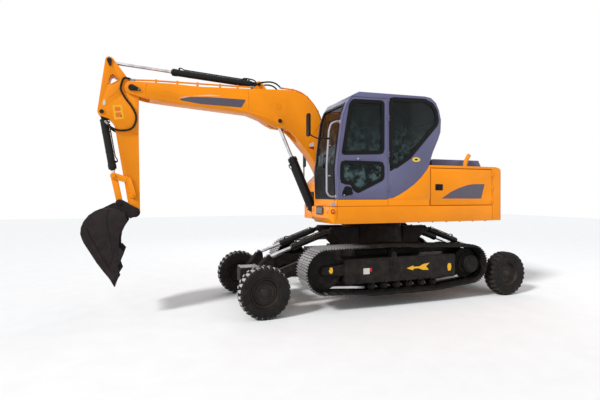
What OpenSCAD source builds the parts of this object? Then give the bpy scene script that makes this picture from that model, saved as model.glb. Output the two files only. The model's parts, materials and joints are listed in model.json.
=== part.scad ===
// Wheel crawler excavator: a tracked excavator that also stands and drives on four road wheels.
// +X is forward, +Y is left (the cab's side), +Z is up. The origin is on the ground, under the
// middle of the overall length. Every module below is drawn from the swing axis, and at_axis()
// moves it into place. Profiles are [x, z] points on the XZ plane.

/* [Layout] */
// Distance of the swing axis behind the middle of the overall length
swing_back = 1035; // [950:5:1150]
// Overall width of the house and of the tracks
body_w = 2000; // [1960:10:2060]
// Running gap between pieces that move on each other
run_gap = 0.3; // [0.2:0.1:0.6]
// Side gap of an eye between its ears
ear_gap = 0.5; // [0.3:0.1:0.9]

/* [Road wheels] */
// Outer diameter of a tyre
tyre_d = 760; // [720:5:775]
// Width of a tyre
tyre_w = 220; // [200:5:230]
// Number of lugs round each half of a tyre's tread
tyre_lugs = 27; // [24:1:30]
// Height of a tyre's lugs
lug_h = 17; // [12:1:20]
// Diameter of the rim's seat in the tyre
rim_d = 416; // [400:2:430]
// Distance between the middles of a left and a right tyre
gauge = 1740; // [1720:5:1760]
// Distance of the front axle before the swing axis
front_axle_x = 2220; // [2210:5:2260]
// Distance of the rear axle behind the swing axis
rear_axle_x = 2200; // [2160:5:2230]
// Distance of the kingpin inboard of the tyre's middle
kingpin_inset = 100; // [95:1:110]
// Radius of a wheel spindle
spindle_r = 30; // [26:1:34]
// Radius of a kingpin
kingpin_r = 20; // [16:1:22]

/* [Tracks] */
// Width of the track shoes
shoe_w = 420; // [400:5:440]
// Depth of the track band, with its shoes' ribs
band_t = 62; // [56:1:70]
// Number of shoes on a track
shoes = 55; // [50:1:58]
// Height of the ribs on a track shoe
rib_h = 24; // [16:1:26]
// Width of the chain that carries the shoes
chain_w = 150; // [130:5:170]
// Distance of the idlers before the swing axis
idler_x = 1280; // [1250:5:1300]
// Height of the idlers' axis
idler_z = 620; // [600:5:640]
// Radius of the track round the idlers
idler_r = 355; // [340:5:365]
// Distance of the sprockets behind the swing axis
sprocket_x = 1380; // [1350:5:1400]
// Height of the sprockets' axis
sprocket_z = 600; // [590:5:620]
// Radius of the track round the sprockets
sprocket_r = 325; // [315:5:340]
// Height of the lugs' tips under the bottom rollers
track_bottom_z = 210; // [200:5:230]

/* [Wheel arms] */
// Distance of the arm pivots from the swing axis
arm_pivot_x = 950; // [920:5:980]
// Height of the arm pivots
arm_pivot_z = 600; // [580:5:620]
// Distance of a lift ram's eye on its arm behind the axle
lift_eye_back = 220; // [200:5:240]
// Height of a lift ram's eye on its arm
lift_eye_z = 790; // [770:5:810]
// Distance of a lift ram's foot from the swing axis
lift_foot_x = 900; // [880:5:920]
// Height of a lift ram's foot
lift_foot_z = 1180; // [1160:5:1195]
// Distance of the lift rams from the middle plane
lift_y = 300; // [290:5:310]

/* [House] */
// Height of the underside of the deck
deck_z = 1330; // [1320:5:1345]
// Thickness of the deck
deck_h = 260; // [240:5:270]
// Height of the top panel over the engine
body_top_z = 2250; // [2200:5:2280]
// Distance of the deck's nose before the swing axis
nose_x = 1250; // [1220:5:1270]
// Depth of the counterweight behind the engine doors
weight_depth = 240; // [200:5:280]
// Distance of the counterweight's front face behind the swing axis
seam_x = 1800; // [1780:5:1820]
// Distance of the engine doors' front edge behind the swing axis
engine_door_x = 505; // [500:5:520]
// Thickness of the house's panels and doors
panel_t = 40; // [30:1:50]
// Height of the hood above the top panel
hood_h = 120; // [100:5:150]

/* [Cab] */
// Height of the cab's base
cab_base_z = 1695; // [1680:5:1710]
// Distance of the cab's right wall from the middle plane
cab_right_y = 90; // [80:5:100]
// Thickness of the cab's walls and door
wall_t = 45; // [36:1:52]
// Thickness of the glass
glass_t = 6; // [5:1:8]
// Distance of the door's rear edge before the swing axis
door_rear_x = 267; // [255:1:280]

/* [Boom and stick] */
// Distance of the boom's middle plane right of the swing axis
boom_right = 150; // [145:1:155]
// Width of the boom
boom_w = 300; // [290:2:310]
// Width of the stick
stick_w = 240; // [230:2:250]
// Width of the stick's foot
stick_foot_w = 200; // [190:2:208]
// Thickness of an ear plate
ear_t = 25; // [20:1:28]

/* [Bucket] */
// Width of the bucket
bucket_w = 760; // [640:10:800]
// Thickness of the bucket's shell
shell_t = 20; // [16:1:26]
// Number of teeth
teeth = 5; // [4:1:6]

/* [Hidden] */
$fn = 64;

half_w = body_w / 2;
tail_x = seam_x + weight_depth;
wheel_y = gauge / 2;
axle_z = tyre_d / 2;
kingpin_y = wheel_y - kingpin_inset;
deck_top_z = deck_z + deck_h;
frame_y = half_w - shoe_w;
mid_track_y = half_w - shoe_w / 2;
boom_y = -boom_right;

// Pins of the working arm, as [x, z]
boom_foot = [740, deck_top_z + 110];
boom_ram_foot = [1010, 1400];
boom_ram_eye = [1713, 2995];
arm_ram_foot = [2049, 3591];
stick_pin = [4000, 3348];
stick_head = [4302, 3730];
bucket_ram_foot = [4403, 2974];
guide_foot = [3985, 1765];
guide_eye = [4248, 2047];
bucket_pin = [3957, 1508];
link_eye = [4166, 1645];

// Rams: barrel radius, rod radius, barrel length, depth of the rod's tail, eye radius, eye width,
// start of the barrel past its eye
function ram_barrel_r(ram) = ram[0];
function ram_rod_r(ram) = ram[1];
function ram_barrel_len(ram) = ram[2];
function ram_tail(ram) = ram[3];
function ram_eye_r(ram) = ram[4];
function ram_eye_w(ram) = ram[5];
function ram_start(ram) = ram[6];
boom_ram = [75, 30, 1094, 620, 55, 80, 120];
arm_ram = [52, 24, 1366, 800, 50, 76, 110];
bucket_ram = [54, 24, 830, 150, 45, 60, 95];
lift_ram = [50, 26, 750, 450, 45, 60, 105];
pin_r = 22;
gland_gap = 0.5;
// Gap round a door in its opening
pane_gap = 6;

lift_foot = [lift_foot_x, lift_foot_z];
lift_eye = [front_axle_x - lift_eye_back, lift_eye_z];
rear_lift_eye = [rear_axle_x - lift_eye_back, lift_eye_z];

module at_axis() translate([-swing_back, 0, 0]) children();
module mirror_y() {
    children();
    mirror([0, 1, 0]) children();
}
// A profile on the XZ plane, made solid from y0 to y1
module slab(y0, y1) translate([0, y1, 0]) rotate([90, 0, 0]) linear_extrude(y1 - y0) children();
module box(low, high) translate(low) cube(high - low);
module disc(at, r) translate(at) circle(r);
module rounded(r) offset(r = r) offset(delta = -r) children();
// A bar between two points, with round ends of its own at each end
module strut(a, b, ra, rb) {
    side = [a.y - b.y, b.x - a.x] / norm(b - a);
    disc(a, ra);
    disc(b, rb);
    polygon([a + side * ra * 0.97, b + side * rb * 0.97, b - side * rb * 0.97, a - side * ra * 0.97]);
}
// Children's Z axis is turned along the line from a to b, in the plane at y
module along(a, b, y) translate([a.x, y, a.y])
    rotate([0, 90 - atan2(b.y - a.y, b.x - a.x), 0]) children();

module ram_tube(r, bore, start, end) rotate_extrude($fn = 64) polygon([[0, start], [r, start],
    [r, end - 70], [r + 5, end - 66], [r + 5, end - 14], [r, end - 10], [r - 2, end], [bore, end],
    [bore, start + 18], [0, start + 18]]);
// A straight bar between two points, in profile
module bar(a, b, half) {
    side = [a.y - b.y, b.x - a.x] / norm(b - a) * half;
    polygon([a + side, b + side, b - side, a - side]);
}
module ram_barrel(ram, a, b, y) {
    neck_end = a + (b - a) / norm(b - a) * (ram_start(ram) + 9);
    slab(y - ram_eye_w(ram) / 2, y + ram_eye_w(ram) / 2) difference() {
        union() {
            disc(a, ram_eye_r(ram));
            bar(a, neck_end, ram_eye_r(ram) * 0.7);
        }
        disc(a, pin_r + run_gap);
    }
    along(a, b, y) ram_tube(ram_barrel_r(ram), ram_rod_r(ram) + gland_gap, ram_start(ram),
        ram_barrel_len(ram));
}
module ram_rod(ram, a, b, y) {
    slab(y - ram_eye_w(ram) / 2, y + ram_eye_w(ram) / 2) disc(b, ram_eye_r(ram));
    along(a, b, y) translate([0, 0, ram_tail(ram)])
        cylinder(r = ram_rod_r(ram), h = norm(b - a) - ram_tail(ram) - ram_eye_r(ram) / 2);
}
// A door hinge about Z, on a face at y = -hinge_out. The fixed half reaches to -X, the moving half to +X
hinge_r = 7.5;
hinge_out = 8.5;
hinge_pin_r = 4;
hinge_leaf = 30;
hinge_len = 26;
module hinge_part(side, z0, z1) {
    translate([0, 0, z0]) cylinder(r = hinge_r, h = z1 - z0, $fn = 32);
    box([min(0, side * hinge_leaf), -hinge_out, z0], [max(0, side * hinge_leaf), -hinge_out + 6, z1]);
}
module hinge_fixed() {
    hinge_part(-1, -1.5 * hinge_len, -0.5 * hinge_len);
    hinge_part(-1, 0.5 * hinge_len, 1.5 * hinge_len);
    cylinder(r = hinge_pin_r, h = 2 * hinge_len, center = true, $fn = 32);
}
module hinge_moving() difference() {
    hinge_part(1, -0.5 * hinge_len + run_gap, 0.5 * hinge_len - run_gap);
    cylinder(r = hinge_pin_r + run_gap, h = 3 * hinge_len, center = true, $fn = 32);
}
// Two ears on either side of a gap of width w at y, each drawn by the child profile
module ears(y, w, t = ear_t) {
    slab(y + w / 2 + ear_gap, y + w / 2 + ear_gap + t) children();
    slab(y - w / 2 - ear_gap - t, y - w / 2 - ear_gap) children();
}
// A pin through both ears
module ear_pin(at, y, w) slab(y - w / 2 - ear_gap - ear_t - 8, y + w / 2 + ear_gap + ear_t + 8)
    disc(at, pin_r);
// Pin heads on the outside of both ears, for an eye that isn't held
module pin_heads(at, y, w) for (s = [-1, 1])
    translate([0, y + s * (w / 2 + ear_gap + ear_t + 5), 0]) slab(-6, 6) disc(at, pin_r * 1.4);

// ---- Lower frame ----
x_frame_x = 620;
module arm_profile(eye, axle) {
    strut([arm_pivot_x, arm_pivot_z], [1500, 640], 80, 95);
    strut([1500, 640], [axle, axle_z + 25], 95, 85);
}
module end_brackets() {
    for (s = [-1, 1]) translate([0, s * lift_y, 0]) {
        ears(0, ram_eye_w(lift_ram)) polygon([[430, 1000], [430, 1220], [lift_foot_x, lift_foot_z + 50],
            [lift_foot_x + 50, lift_foot_z], [lift_foot_x, lift_foot_z - 50], [x_frame_x, 860],
            [430, 860]]);
        ear_pin(lift_foot, 0, ram_eye_w(lift_ram));
    }
    for (s = [-1, 1]) translate([0, s * arm_y, 0]) {
        ears(0, arm_beam_w) polygon([[x_frame_x - 60, 500], [x_frame_x - 60, 780],
            [arm_pivot_x, arm_pivot_z + 80], [arm_pivot_x + 80, arm_pivot_z],
            [arm_pivot_x, arm_pivot_z - 80]]);
        ear_pin([arm_pivot_x, arm_pivot_z], 0, arm_beam_w);
    }
}
tow_eye_x = 700;
tow_eye_r = 25;
tow_eye_t = 40;
arm_y = 430;
arm_beam_w = 70;
side_frame_z = [400, 780];
module lower_frame() at_axis() color("#28262a") {
    box([-x_frame_x, -frame_y + 5, 500], [x_frame_x, frame_y - 5, 860]);
    translate([0, 0, 855]) cylinder(r1 = frame_y - 10, r2 = 520, h = deck_z - 60 - 855, $fn = 96);
    end_brackets();
    mirror([1, 0, 0]) end_brackets();
    for (s = [-1, 1]) translate([0, 0, arm_pivot_z - tow_eye_t / 2]) linear_extrude(tow_eye_t) difference() {
        hull() {
            translate([s * tow_eye_x, 0]) circle(60);
            translate([s * (x_frame_x - 20), 0]) square([20, 180], center = true);
        }
        translate([s * tow_eye_x, 0]) circle(tow_eye_r);
    }
    mirror_y() {
        slab(frame_y - 20, half_w - 90) rounded(40) polygon([[-1090, side_frame_z[0]],
            [960, side_frame_z[0]], [960, side_frame_z[1]], [-1090, side_frame_z[1]]]);
        for (y = [mid_track_y - 90, mid_track_y + 70]) slab(y, y + 20) strut([900, idler_z], [idler_x, idler_z], 90, 60);
        box([-1500, frame_y + 20, 450], [-1080, mid_track_y - 62, 750]);
        slab(mid_track_y - 25, mid_track_y + 25) polygon([[45, 770], [165, 770], [130, 868], [80, 868]]);
        slab(half_w - 95, half_w - 78) rounded(14) polygon([[45, 545], [165, 545], [178, 610], [142, 850],
            [68, 850], [32, 610]]);
    }
}
module slew_ring() at_axis() color("#3a3a3c") translate([0, 0, deck_z - 60])
    difference() {
        cylinder(r = 470, h = 60 - run_gap, $fn = 96);
        translate([0, 0, -1]) cylinder(r = 330, h = 70, $fn = 96);
    }

// ---- Tracks ----
carrier_x = 105;
carrier_r = 92;
// Circles that the track runs round, as [x, z, radius]: up at the idler, then back along the top
track_circles = [[idler_x, idler_z, idler_r], [carrier_x, 900, carrier_r], [-sprocket_x, sprocket_z, sprocket_r],
    [-700, track_bottom_z + 100, 100], [500, track_bottom_z + 100, 100]];
corners = len(track_circles);
function next_circle(i) = track_circles[(i + 1) % corners];
function gap_to_next(i) = [next_circle(i).x - track_circles[i].x, next_circle(i).y - track_circles[i].y];
// Way out from the track, in degrees, on the straight run that leaves a circle
ways = [for (i = [0 : corners - 1]) let (d = gap_to_next(i))
    atan2(d.y, d.x) - acos((track_circles[i].z - next_circle(i).z) / norm(d))];
function way_in(i) = ways[(i + corners - 1) % corners];
function bend(i) = (ways[i] - way_in(i) + 720) % 360;
// The track's runs in turn: round a circle, then straight to the next
runs = [for (i = [0 : corners - 1]) each [track_circles[i].z * bend(i) * PI / 180,
    sqrt(pow(norm(gap_to_next(i)), 2) - pow(track_circles[i].z - next_circle(i).z, 2))]];
starts = [for (i = 0, gone = 0; i <= len(runs); gone = gone + (i < len(runs) ? runs[i] : 0), i = i + 1) gone];
track_len = starts[len(runs)];
pitch = track_len / shoes;
function run_at(s) = max([for (i = [0 : len(runs) - 1]) if (starts[i] <= s) i]);
// Place on the track's outside at a length s along it, as [x, z, way out in degrees]
function track_spot(s) = let (i = run_at(s), k = floor(i / 2), c = track_circles[k], past = s - starts[i],
    way = i % 2 == 0 ? way_in(k) + past / c.z * 180 / PI : ways[k], on = i % 2 == 0 ? 0 : past)
    [c.x + c.z * cos(way) - on * sin(way), c.y + c.z * sin(way) + on * cos(way), way];
shoe_t = 12;
rib_tip = 9;
rib_foot = 16;
// A track shoe with three ribs, outwards along X
module shoe() {
    translate([-rib_h - shoe_t, -0.485 * pitch]) square([shoe_t, 0.97 * pitch]);
    for (y = [-0.32, 0, 0.32] * pitch) polygon([[-rib_h - 1, y - rib_foot / 2], [0, y - rib_tip / 2],
        [0, y + rib_tip / 2], [-rib_h - 1, y + rib_foot / 2]]);
}
module track_outline(inset) offset(delta = -inset) hull() for (c = track_circles) disc([c.x, c.y], c.z);
module track_band() {
    slab(-shoe_w / 2, shoe_w / 2) for (i = [0 : shoes - 1]) let (at = track_spot(i * pitch))
        translate([at.x, at.y]) rotate(at.z) shoe();
    slab(-chain_w / 2, chain_w / 2) difference() {
        track_outline(rib_h + shoe_t - 3);
        track_outline(band_t);
    }
}
module track_left() at_axis() color("#2b2928") translate([0, mid_track_y, 0]) track_band();
module track_right() at_axis() color("#2b2928") translate([0, -mid_track_y, 0]) track_band();
bottom_rollers = 6;
sprocket_teeth = 23;
tread_r = [idler_r - band_t - 1, sprocket_r - band_t - 1, carrier_r - band_t - 1];
module turned_y(at, profile) translate([at.x, 0, at.y]) rotate([-90, 0, 0]) rotate_extrude($fn = 96)
    polygon(profile);
module sprocket_outline(r) {
    circle(r - 26);
    for (i = [0 : sprocket_teeth - 1]) rotate(i * 360 / sprocket_teeth)
        polygon([[r - 40, -19], [r, -8], [r, 8], [r - 40, 19]]);
}
// A roller with a flange at each end of its treads, from its radius and half width
module track_roller(at, r, half) turned_y(at, [[0, -half], [r * 0.65, -half], [r * 0.65, 34 - half],
    [r, 40 - half], [r, -36], [r * 0.8, -34], [r * 0.8, 34], [r, 36], [r, half - 40], [r * 0.65, half - 34],
    [r * 0.65, half], [0, half]]);
module track_wheels() at_axis() color("#302e2c") mirror_y() translate([0, mid_track_y, 0]) {
    turned_y([idler_x, idler_z], [[0, -62], [72, -62], [84, -36], [tread_r[0] - 60, -30],
        [tread_r[0] - 44, -42], [tread_r[0], -42], [tread_r[0], 42], [tread_r[0] - 44, 42],
        [tread_r[0] - 60, 30], [84, 36], [72, 62], [0, 62]]);
    slab(-20, 20) translate([-sprocket_x, sprocket_z]) sprocket_outline(tread_r[1]);
    turned_y([-sprocket_x, sprocket_z], [[0, 15], [205, 15], [205, 30], [176, 36], [172, 62], [150, 70],
        [150, 168], [140, 182], [112, 188], [108, 195], [0, 195]]);
    track_roller([carrier_x, 900], tread_r[2], 70);
    for (i = [0 : bottom_rollers - 1]) track_roller([480 - i * 232, 336], 63.5, 110);
}

// ---- Axles, knuckles and wheels ----
module lift_arm(axle, eye) {
    mirror_y() {
        slab(arm_y - arm_beam_w / 2, arm_y + arm_beam_w / 2) difference() {
            arm_profile(eye, axle);
            disc([arm_pivot_x, arm_pivot_z], pin_r + run_gap);
        }
        translate([0, lift_y, 0]) {
            ears(0, ram_eye_w(lift_ram)) polygon([[eye.x - 55, eye.y], [eye.x, eye.y + 50],
                [eye.x + 50, eye.y], [axle - 20, 600], [axle - 20, 480], [eye.x - 100, 480]]);
            pin_heads(eye, 0, ram_eye_w(lift_ram));
        }
    }
    box([axle - 420, -arm_y - 30, 480], [axle - 60, arm_y + 30, 560]);
}
beam_half = 560;
fork_z = [62, 100];
module fork() {
    box([front_axle_x - 80, beam_half - 10, axle_z - fork_z[1]], [front_axle_x + 80, 640, axle_z + fork_z[1]]);
    for (z = [axle_z + fork_z[0] + run_gap, axle_z - fork_z[1]]) translate([0, 0, z])
        linear_extrude(fork_z[1] - fork_z[0] - run_gap) {
            translate([front_axle_x, kingpin_y]) circle(54);
            translate([front_axle_x - 52, 630]) square([104, kingpin_y - 630]);
        }
    translate([front_axle_x, kingpin_y, axle_z - fork_z[1]]) cylinder(r = kingpin_r, h = 2 * fork_z[1]);
}
module front_axle() at_axis() color("#242226") {
    box([front_axle_x - 130, -140, axle_z + 5], [front_axle_x + 180, 140, 614]);
    translate([front_axle_x, 0, axle_z]) rotate([90, 0, 0]) cylinder(r = 70, h = 2 * beam_half, center = true);
    lift_arm(front_axle_x, lift_eye);
    mirror_y() fork();
}
module rear_axle() at_axis() color("#242226") mirror([1, 0, 0]) {
    translate([rear_axle_x, 0, axle_z]) rotate([90, 0, 0]) {
        cylinder(r = 85, h = 2 * 700, center = true);
        cylinder(r = spindle_r, h = 2 * (wheel_y + 60), center = true);
        cylinder(r = 170, h = 300, center = true);
    }
    lift_arm(rear_axle_x, rear_lift_eye);
}
steer_arm = 200;
steer_in = 70;
module knuckle() difference() {
    union() {
        translate([front_axle_x, kingpin_y, axle_z]) {
            cylinder(r = 48, h = 2 * fork_z[0], center = true);
            rotate([-90, 0, 0]) cylinder(r = 44, h = 80);
            rotate([-90, 0, 0]) cylinder(r = spindle_r, h = kingpin_inset + 60);
        }
        translate([0, 0, axle_z - 30]) linear_extrude(26)
            strut([front_axle_x, kingpin_y], [front_axle_x - steer_arm, kingpin_y - steer_in], 46, 34);
    }
    translate([front_axle_x, kingpin_y, axle_z])
        cylinder(r = kingpin_r + run_gap, h = 3 * fork_z[0], center = true);
}
module knuckle_left() at_axis() color("#242226") knuckle();
module knuckle_right() at_axis() color("#242226") mirror([0, 1, 0]) knuckle();
module tie_rod() at_axis() color("#4a4a4c") {
    translate([front_axle_x - steer_arm, 0, axle_z - 52]) rotate([90, 0, 0])
        cylinder(r = 17, h = 2 * (kingpin_y - steer_in - 5), center = true);
    mirror_y() translate([front_axle_x - steer_arm, kingpin_y - steer_in, axle_z - 70])
        cylinder(r = 30, h = 40 - ear_gap);
}

lug_pitch = 360 / tyre_lugs;
// Shares of the lugs' pitch that the gap between two lugs takes, at its floor and at the tread
lug_gap = [0.34, 0.42];
module tread_gaps() for (i = [0 : tyre_lugs - 1]) rotate(i * lug_pitch)
    let (r = [tyre_d / 2 - lug_h, tyre_d / 2 + 5], w = [for (k = [0, 1]) r[k] * lug_pitch * lug_gap[k] * PI / 360])
    polygon([[r[0], -w[0]], [r[1], -w[1]], [r[1], w[1]], [r[0], w[0]]]);
// The lugs of the two halves lie half a pitch apart
module tyre() difference() {
    carcass();
    slab(0, tyre_w) tread_gaps();
    slab(-tyre_w, 0) rotate(lug_pitch / 2) tread_gaps();
}
module carcass() rotate([90, 0, 0]) rotate_extrude($fn = 96) polygon([
    [rim_d / 2 + run_gap, -85], [rim_d / 2 + 24, -tyre_w / 2 + 6], [tyre_d / 2 - 62, -tyre_w / 2],
    [tyre_d / 2 - 18, -tyre_w / 2 + 4], [tyre_d / 2, -tyre_w / 2 + 18],
    [tyre_d / 2, tyre_w / 2 - 18], [tyre_d / 2 - 18, tyre_w / 2 - 4],
    [tyre_d / 2 - 62, tyre_w / 2], [rim_d / 2 + 24, tyre_w / 2 - 6], [rim_d / 2 + run_gap, 85]]);
// Drawn with its outer face towards +Y
module rim() rotate([-90, 0, 0]) rotate_extrude($fn = 96) polygon([
    [rim_d / 2, -88], [rim_d / 2, 88], [rim_d / 2 - 14, 88], [rim_d / 2 - 22, 40],
    [150, 20], [95, 34], [78, 72], [spindle_r + run_gap, 72], [spindle_r + run_gap, -18],
    [78, -18], [88, 14], [150, 2], [rim_d / 2 - 30, 16], [rim_d / 2 - 18, -88]]);
module at_wheel(x, side) at_axis() translate([x, side * wheel_y, axle_z]) mirror([0, side < 0 ? 1 : 0, 0])
    children();
module tyre_front_left() color("#262524") at_wheel(front_axle_x, 1) tyre();
module tyre_front_right() color("#262524") at_wheel(front_axle_x, -1) tyre();
module tyre_rear_left() color("#262524") at_wheel(-rear_axle_x, 1) tyre();
module tyre_rear_right() color("#262524") at_wheel(-rear_axle_x, -1) tyre();
module rim_front_left() color("#332f2f") at_wheel(front_axle_x, 1) rim();
module rim_front_right() color("#332f2f") at_wheel(front_axle_x, -1) rim();
module rim_rear_left() color("#332f2f") at_wheel(-rear_axle_x, 1) rim();
module rim_rear_right() color("#332f2f") at_wheel(-rear_axle_x, -1) rim();

module front_lift_barrels() at_axis() color("#1f1f21") mirror_y() ram_barrel(lift_ram, lift_foot, lift_eye, lift_y);
module front_lift_rods() at_axis() color("silver") mirror_y() ram_rod(lift_ram, lift_foot, lift_eye, lift_y);
module rear_lift_barrels() at_axis() color("#1f1f21") mirror([1, 0, 0]) mirror_y()
    ram_barrel(lift_ram, lift_foot, rear_lift_eye, lift_y);
module rear_lift_rods() at_axis() color("silver") mirror([1, 0, 0]) mirror_y()
    ram_rod(lift_ram, lift_foot, rear_lift_eye, lift_y);

// ---- House ----
orange = "#e8891a";
violet = "#6b6880";
cab_deck_y = 275;
module deck() at_axis() color(orange) {
    slab(-half_w, half_w) polygon([[-seam_x, deck_z], [900, deck_z], [900, deck_top_z],
        [-seam_x, deck_top_z]]);
    intersection() {
        slab(cab_deck_y, half_w) rounded(30) polygon([[600, deck_z], [nose_x - 60, deck_z],
            [nose_x, deck_z + 90], [nose_x, deck_top_z], [600, deck_top_z]]);
        translate([0, 0, deck_z - 1]) linear_extrude(deck_h + 2) rounded(nose_round) polygon([
            [500, cab_deck_y - 100], [nose_x, cab_deck_y - 100], [nose_x, half_w], [500, half_w]]);
    }
    translate([nose_x, 0, 0]) {
        box([-5, nose_lamp_y[0], deck_z + 132], [12, nose_lamp_y[1], deck_top_z - 6]);
        for (y = [340, 900]) translate([0, y, deck_z + 205]) rotate([0, 90, 0]) cylinder(r = 34, h = 24, center = true);
    }
    box([-engine_door_x + 1, cab_right_y, deck_top_z], [1135, half_w, cab_base_z - run_gap]);
    ears(boom_y, boom_w, 30) union() {
        disc(boom_foot, 92);
        polygon([[500, deck_top_z], [boom_foot.x - 88, boom_foot.y], [boom_foot.x + 88, boom_foot.y],
            [900, deck_top_z]]);
    }
    slab(boom_y - boom_w / 2 - 34, boom_y + boom_w / 2 + 34) disc(boom_foot, boom_pin_r);
    ears(boom_y, ram_eye_w(boom_ram), 30) polygon([[890, deck_z + 2], [1010, deck_z + 2], [1066, 1370],
        [1066, 1430], [1035, 1458], [985, 1458], [890, 1430]]);
    ear_pin(boom_ram_foot, boom_y, ram_eye_w(boom_ram));
}
boom_pin_r = 35;
nose_round = 70;
nose_lamp_y = [480, 760];
side_hinge_z = [1680, 1890, 2110];
side_hinge_x = -seam_x + pane_gap / 2 - 0.5;
module counterweight() at_axis() color(orange) {
    weight_body();
    mirror_y() for (z = side_hinge_z) translate([side_hinge_x, half_w + hinge_out, z]) hinge_fixed();
    mirror_y() box([-tail_x - 6, half_w - 410, body_top_z - 262], [-tail_x + 60, half_w - 190, body_top_z - 192]);
}
module weight_body() difference() {
    intersection() {
        translate([0, 0, deck_z - 10]) linear_extrude(body_top_z - deck_z + 20) rounded(60) polygon([
            [-seam_x + 199, -half_w], [-seam_x + 199, half_w], [-tail_x + 20, half_w],
            [-tail_x, half_w / 2], [-tail_x, -half_w / 2], [-tail_x + 20, -half_w]]);
        slab(-half_w - 1, half_w + 1) rounded(24) polygon([[-seam_x + 199, deck_z + 2], [-tail_x + 30, deck_z + 2],
            [-tail_x, deck_z + 40], [-tail_x, body_top_z - 170], [-tail_x + 22, body_top_z - 85],
            [-tail_x + 80, body_top_z - 22], [-tail_x + 165, body_top_z], [-seam_x + 199, body_top_z]]);
    }
    box([-seam_x, -half_w - 2, deck_z - 20], [-seam_x + 300, half_w + 2, body_top_z + 20]);
}
hood_box = [[-1735, -800], [-700, 800]];
hood_hinge_y = [-500, 500];
module hood_profile(low) polygon([[hood_box[0].x, low], [hood_box[0].x, body_top_z + 25],
    [hood_box[0].x + 50, body_top_z + hood_h], [hood_box[1].x - 30, body_top_z + hood_h],
    [hood_box[1].x, body_top_z + hood_h - 30], [hood_box[1].x, low]]);
module at_hood_hinge(y) translate([hood_box[1].x + hinge_out, y, body_top_z + hinge_out]) children();
module side_body() at_axis() color(orange) {
    difference() {
        box([-seam_x, -half_w, body_top_z - panel_t], [-engine_door_x - 15, half_w, body_top_z]);
        box([hood_box[0].x + 40, hood_box[0].y + 40, body_top_z - 100],
            [hood_box[1].x - 40, hood_box[1].y - 40, body_top_z + 10]);
    }
    for (y = hood_hinge_y) at_hood_hinge(y) rotate([90, 0, 180]) hinge_fixed();
    tube([for (k = [0 : 3]) [exhaust.x - exhaust_lean * k * k / 9, exhaust.y,
        body_top_z - 10 + k * 70]], exhaust_r);
    box([-engine_door_x - 55, -half_w + panel_t + 2, deck_top_z],
        [-engine_door_x - 15, half_w - panel_t - 2, body_top_z - panel_t]);
    box([-seam_x, -half_w + panel_t + 2, deck_top_z], [-seam_x + panel_t, half_w - panel_t - 2, body_top_z - panel_t]);
    slab(half_w - panel_t, half_w) polygon(concat([[-engine_door_x, body_top_z]],
        [for (p = cab_curve) p - [1, 1]], [[door_rear_x - 1, cab_base_z], [-engine_door_x, cab_base_z]]));
    box([-engine_door_x - 15, cab_right_y, cab_base_z], [-engine_door_x, half_w, body_top_z]);
}
module right_tank() at_axis() color(orange) slab(-half_w, boom_y - boom_w / 2 - 110) rounded(30)
    polygon([[-engine_door_x - 10, deck_top_z], [880, deck_top_z], [880, 1980], [700, 2160],
        [-engine_door_x - 10, 2160]]);
exhaust = [-1322, 880];
exhaust_r = 33;
exhaust_lean = 85;
module engine() at_axis() color("#46484a") {
    box([-1640, -420, deck_top_z], [-760, 380, 2140]);
}
module hood() at_axis() color(violet) {
    difference() {
        slab(hood_box[0].y, hood_box[1].y) hood_profile(body_top_z + run_gap);
        slab(hood_box[0].y + 30, hood_box[1].y - 30) offset(delta = -30) hood_profile(body_top_z - 80);
    }
    for (y = hood_hinge_y) at_hood_hinge(y) rotate([-90, -90, 0]) hinge_moving();
}
module engine_door() {
    box([-seam_x + pane_gap, half_w - panel_t, deck_top_z + pane_gap],
        [-engine_door_x - 15 - pane_gap, half_w, body_top_z - panel_t - pane_gap]);
    for (z = side_hinge_z) translate([side_hinge_x, half_w + hinge_out, z]) hinge_moving();
}
module side_door_left() at_axis() color(orange) engine_door();
louvres = 9;
louvre_z = [1985, 2155];
module side_door_right() at_axis() color(orange) mirror([0, 1, 0]) {
    engine_door();
    for (i = [0 : louvres - 1]) let (z = louvre_z[0] + i * (louvre_z[1] - louvre_z[0]) / louvres)
        translate([-1545, half_w, z]) rotate([90, 0, 90]) linear_extrude(770)
            polygon([[-2, 0], [9, 0], [9, 5], [-2, 15]]);
}

// ---- Cab ----
// The cab's lower rear edge, which the side panel follows
cab_curve = [[-500, 2245], [-461, 2180], [-346, 2049], [-213, 1935], [-64, 1839], [65, 1768], [174, 1721],
    [door_rear_x, 1706]];
cab_profile = concat([[1122, cab_base_z], [1139, 2165], [1090, 2583], [1040, 2958], [974, 3142], [891, 3268],
    [770, 3330], [-419, 3352], [-535, 3337], [-632, 3263], [-691, 3153], [-731, 2993], [-721, 2796],
    [-671, 2663], [-573, 2464], [-510, 2290]], cab_curve, [[door_rear_x, cab_base_z]]);
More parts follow.
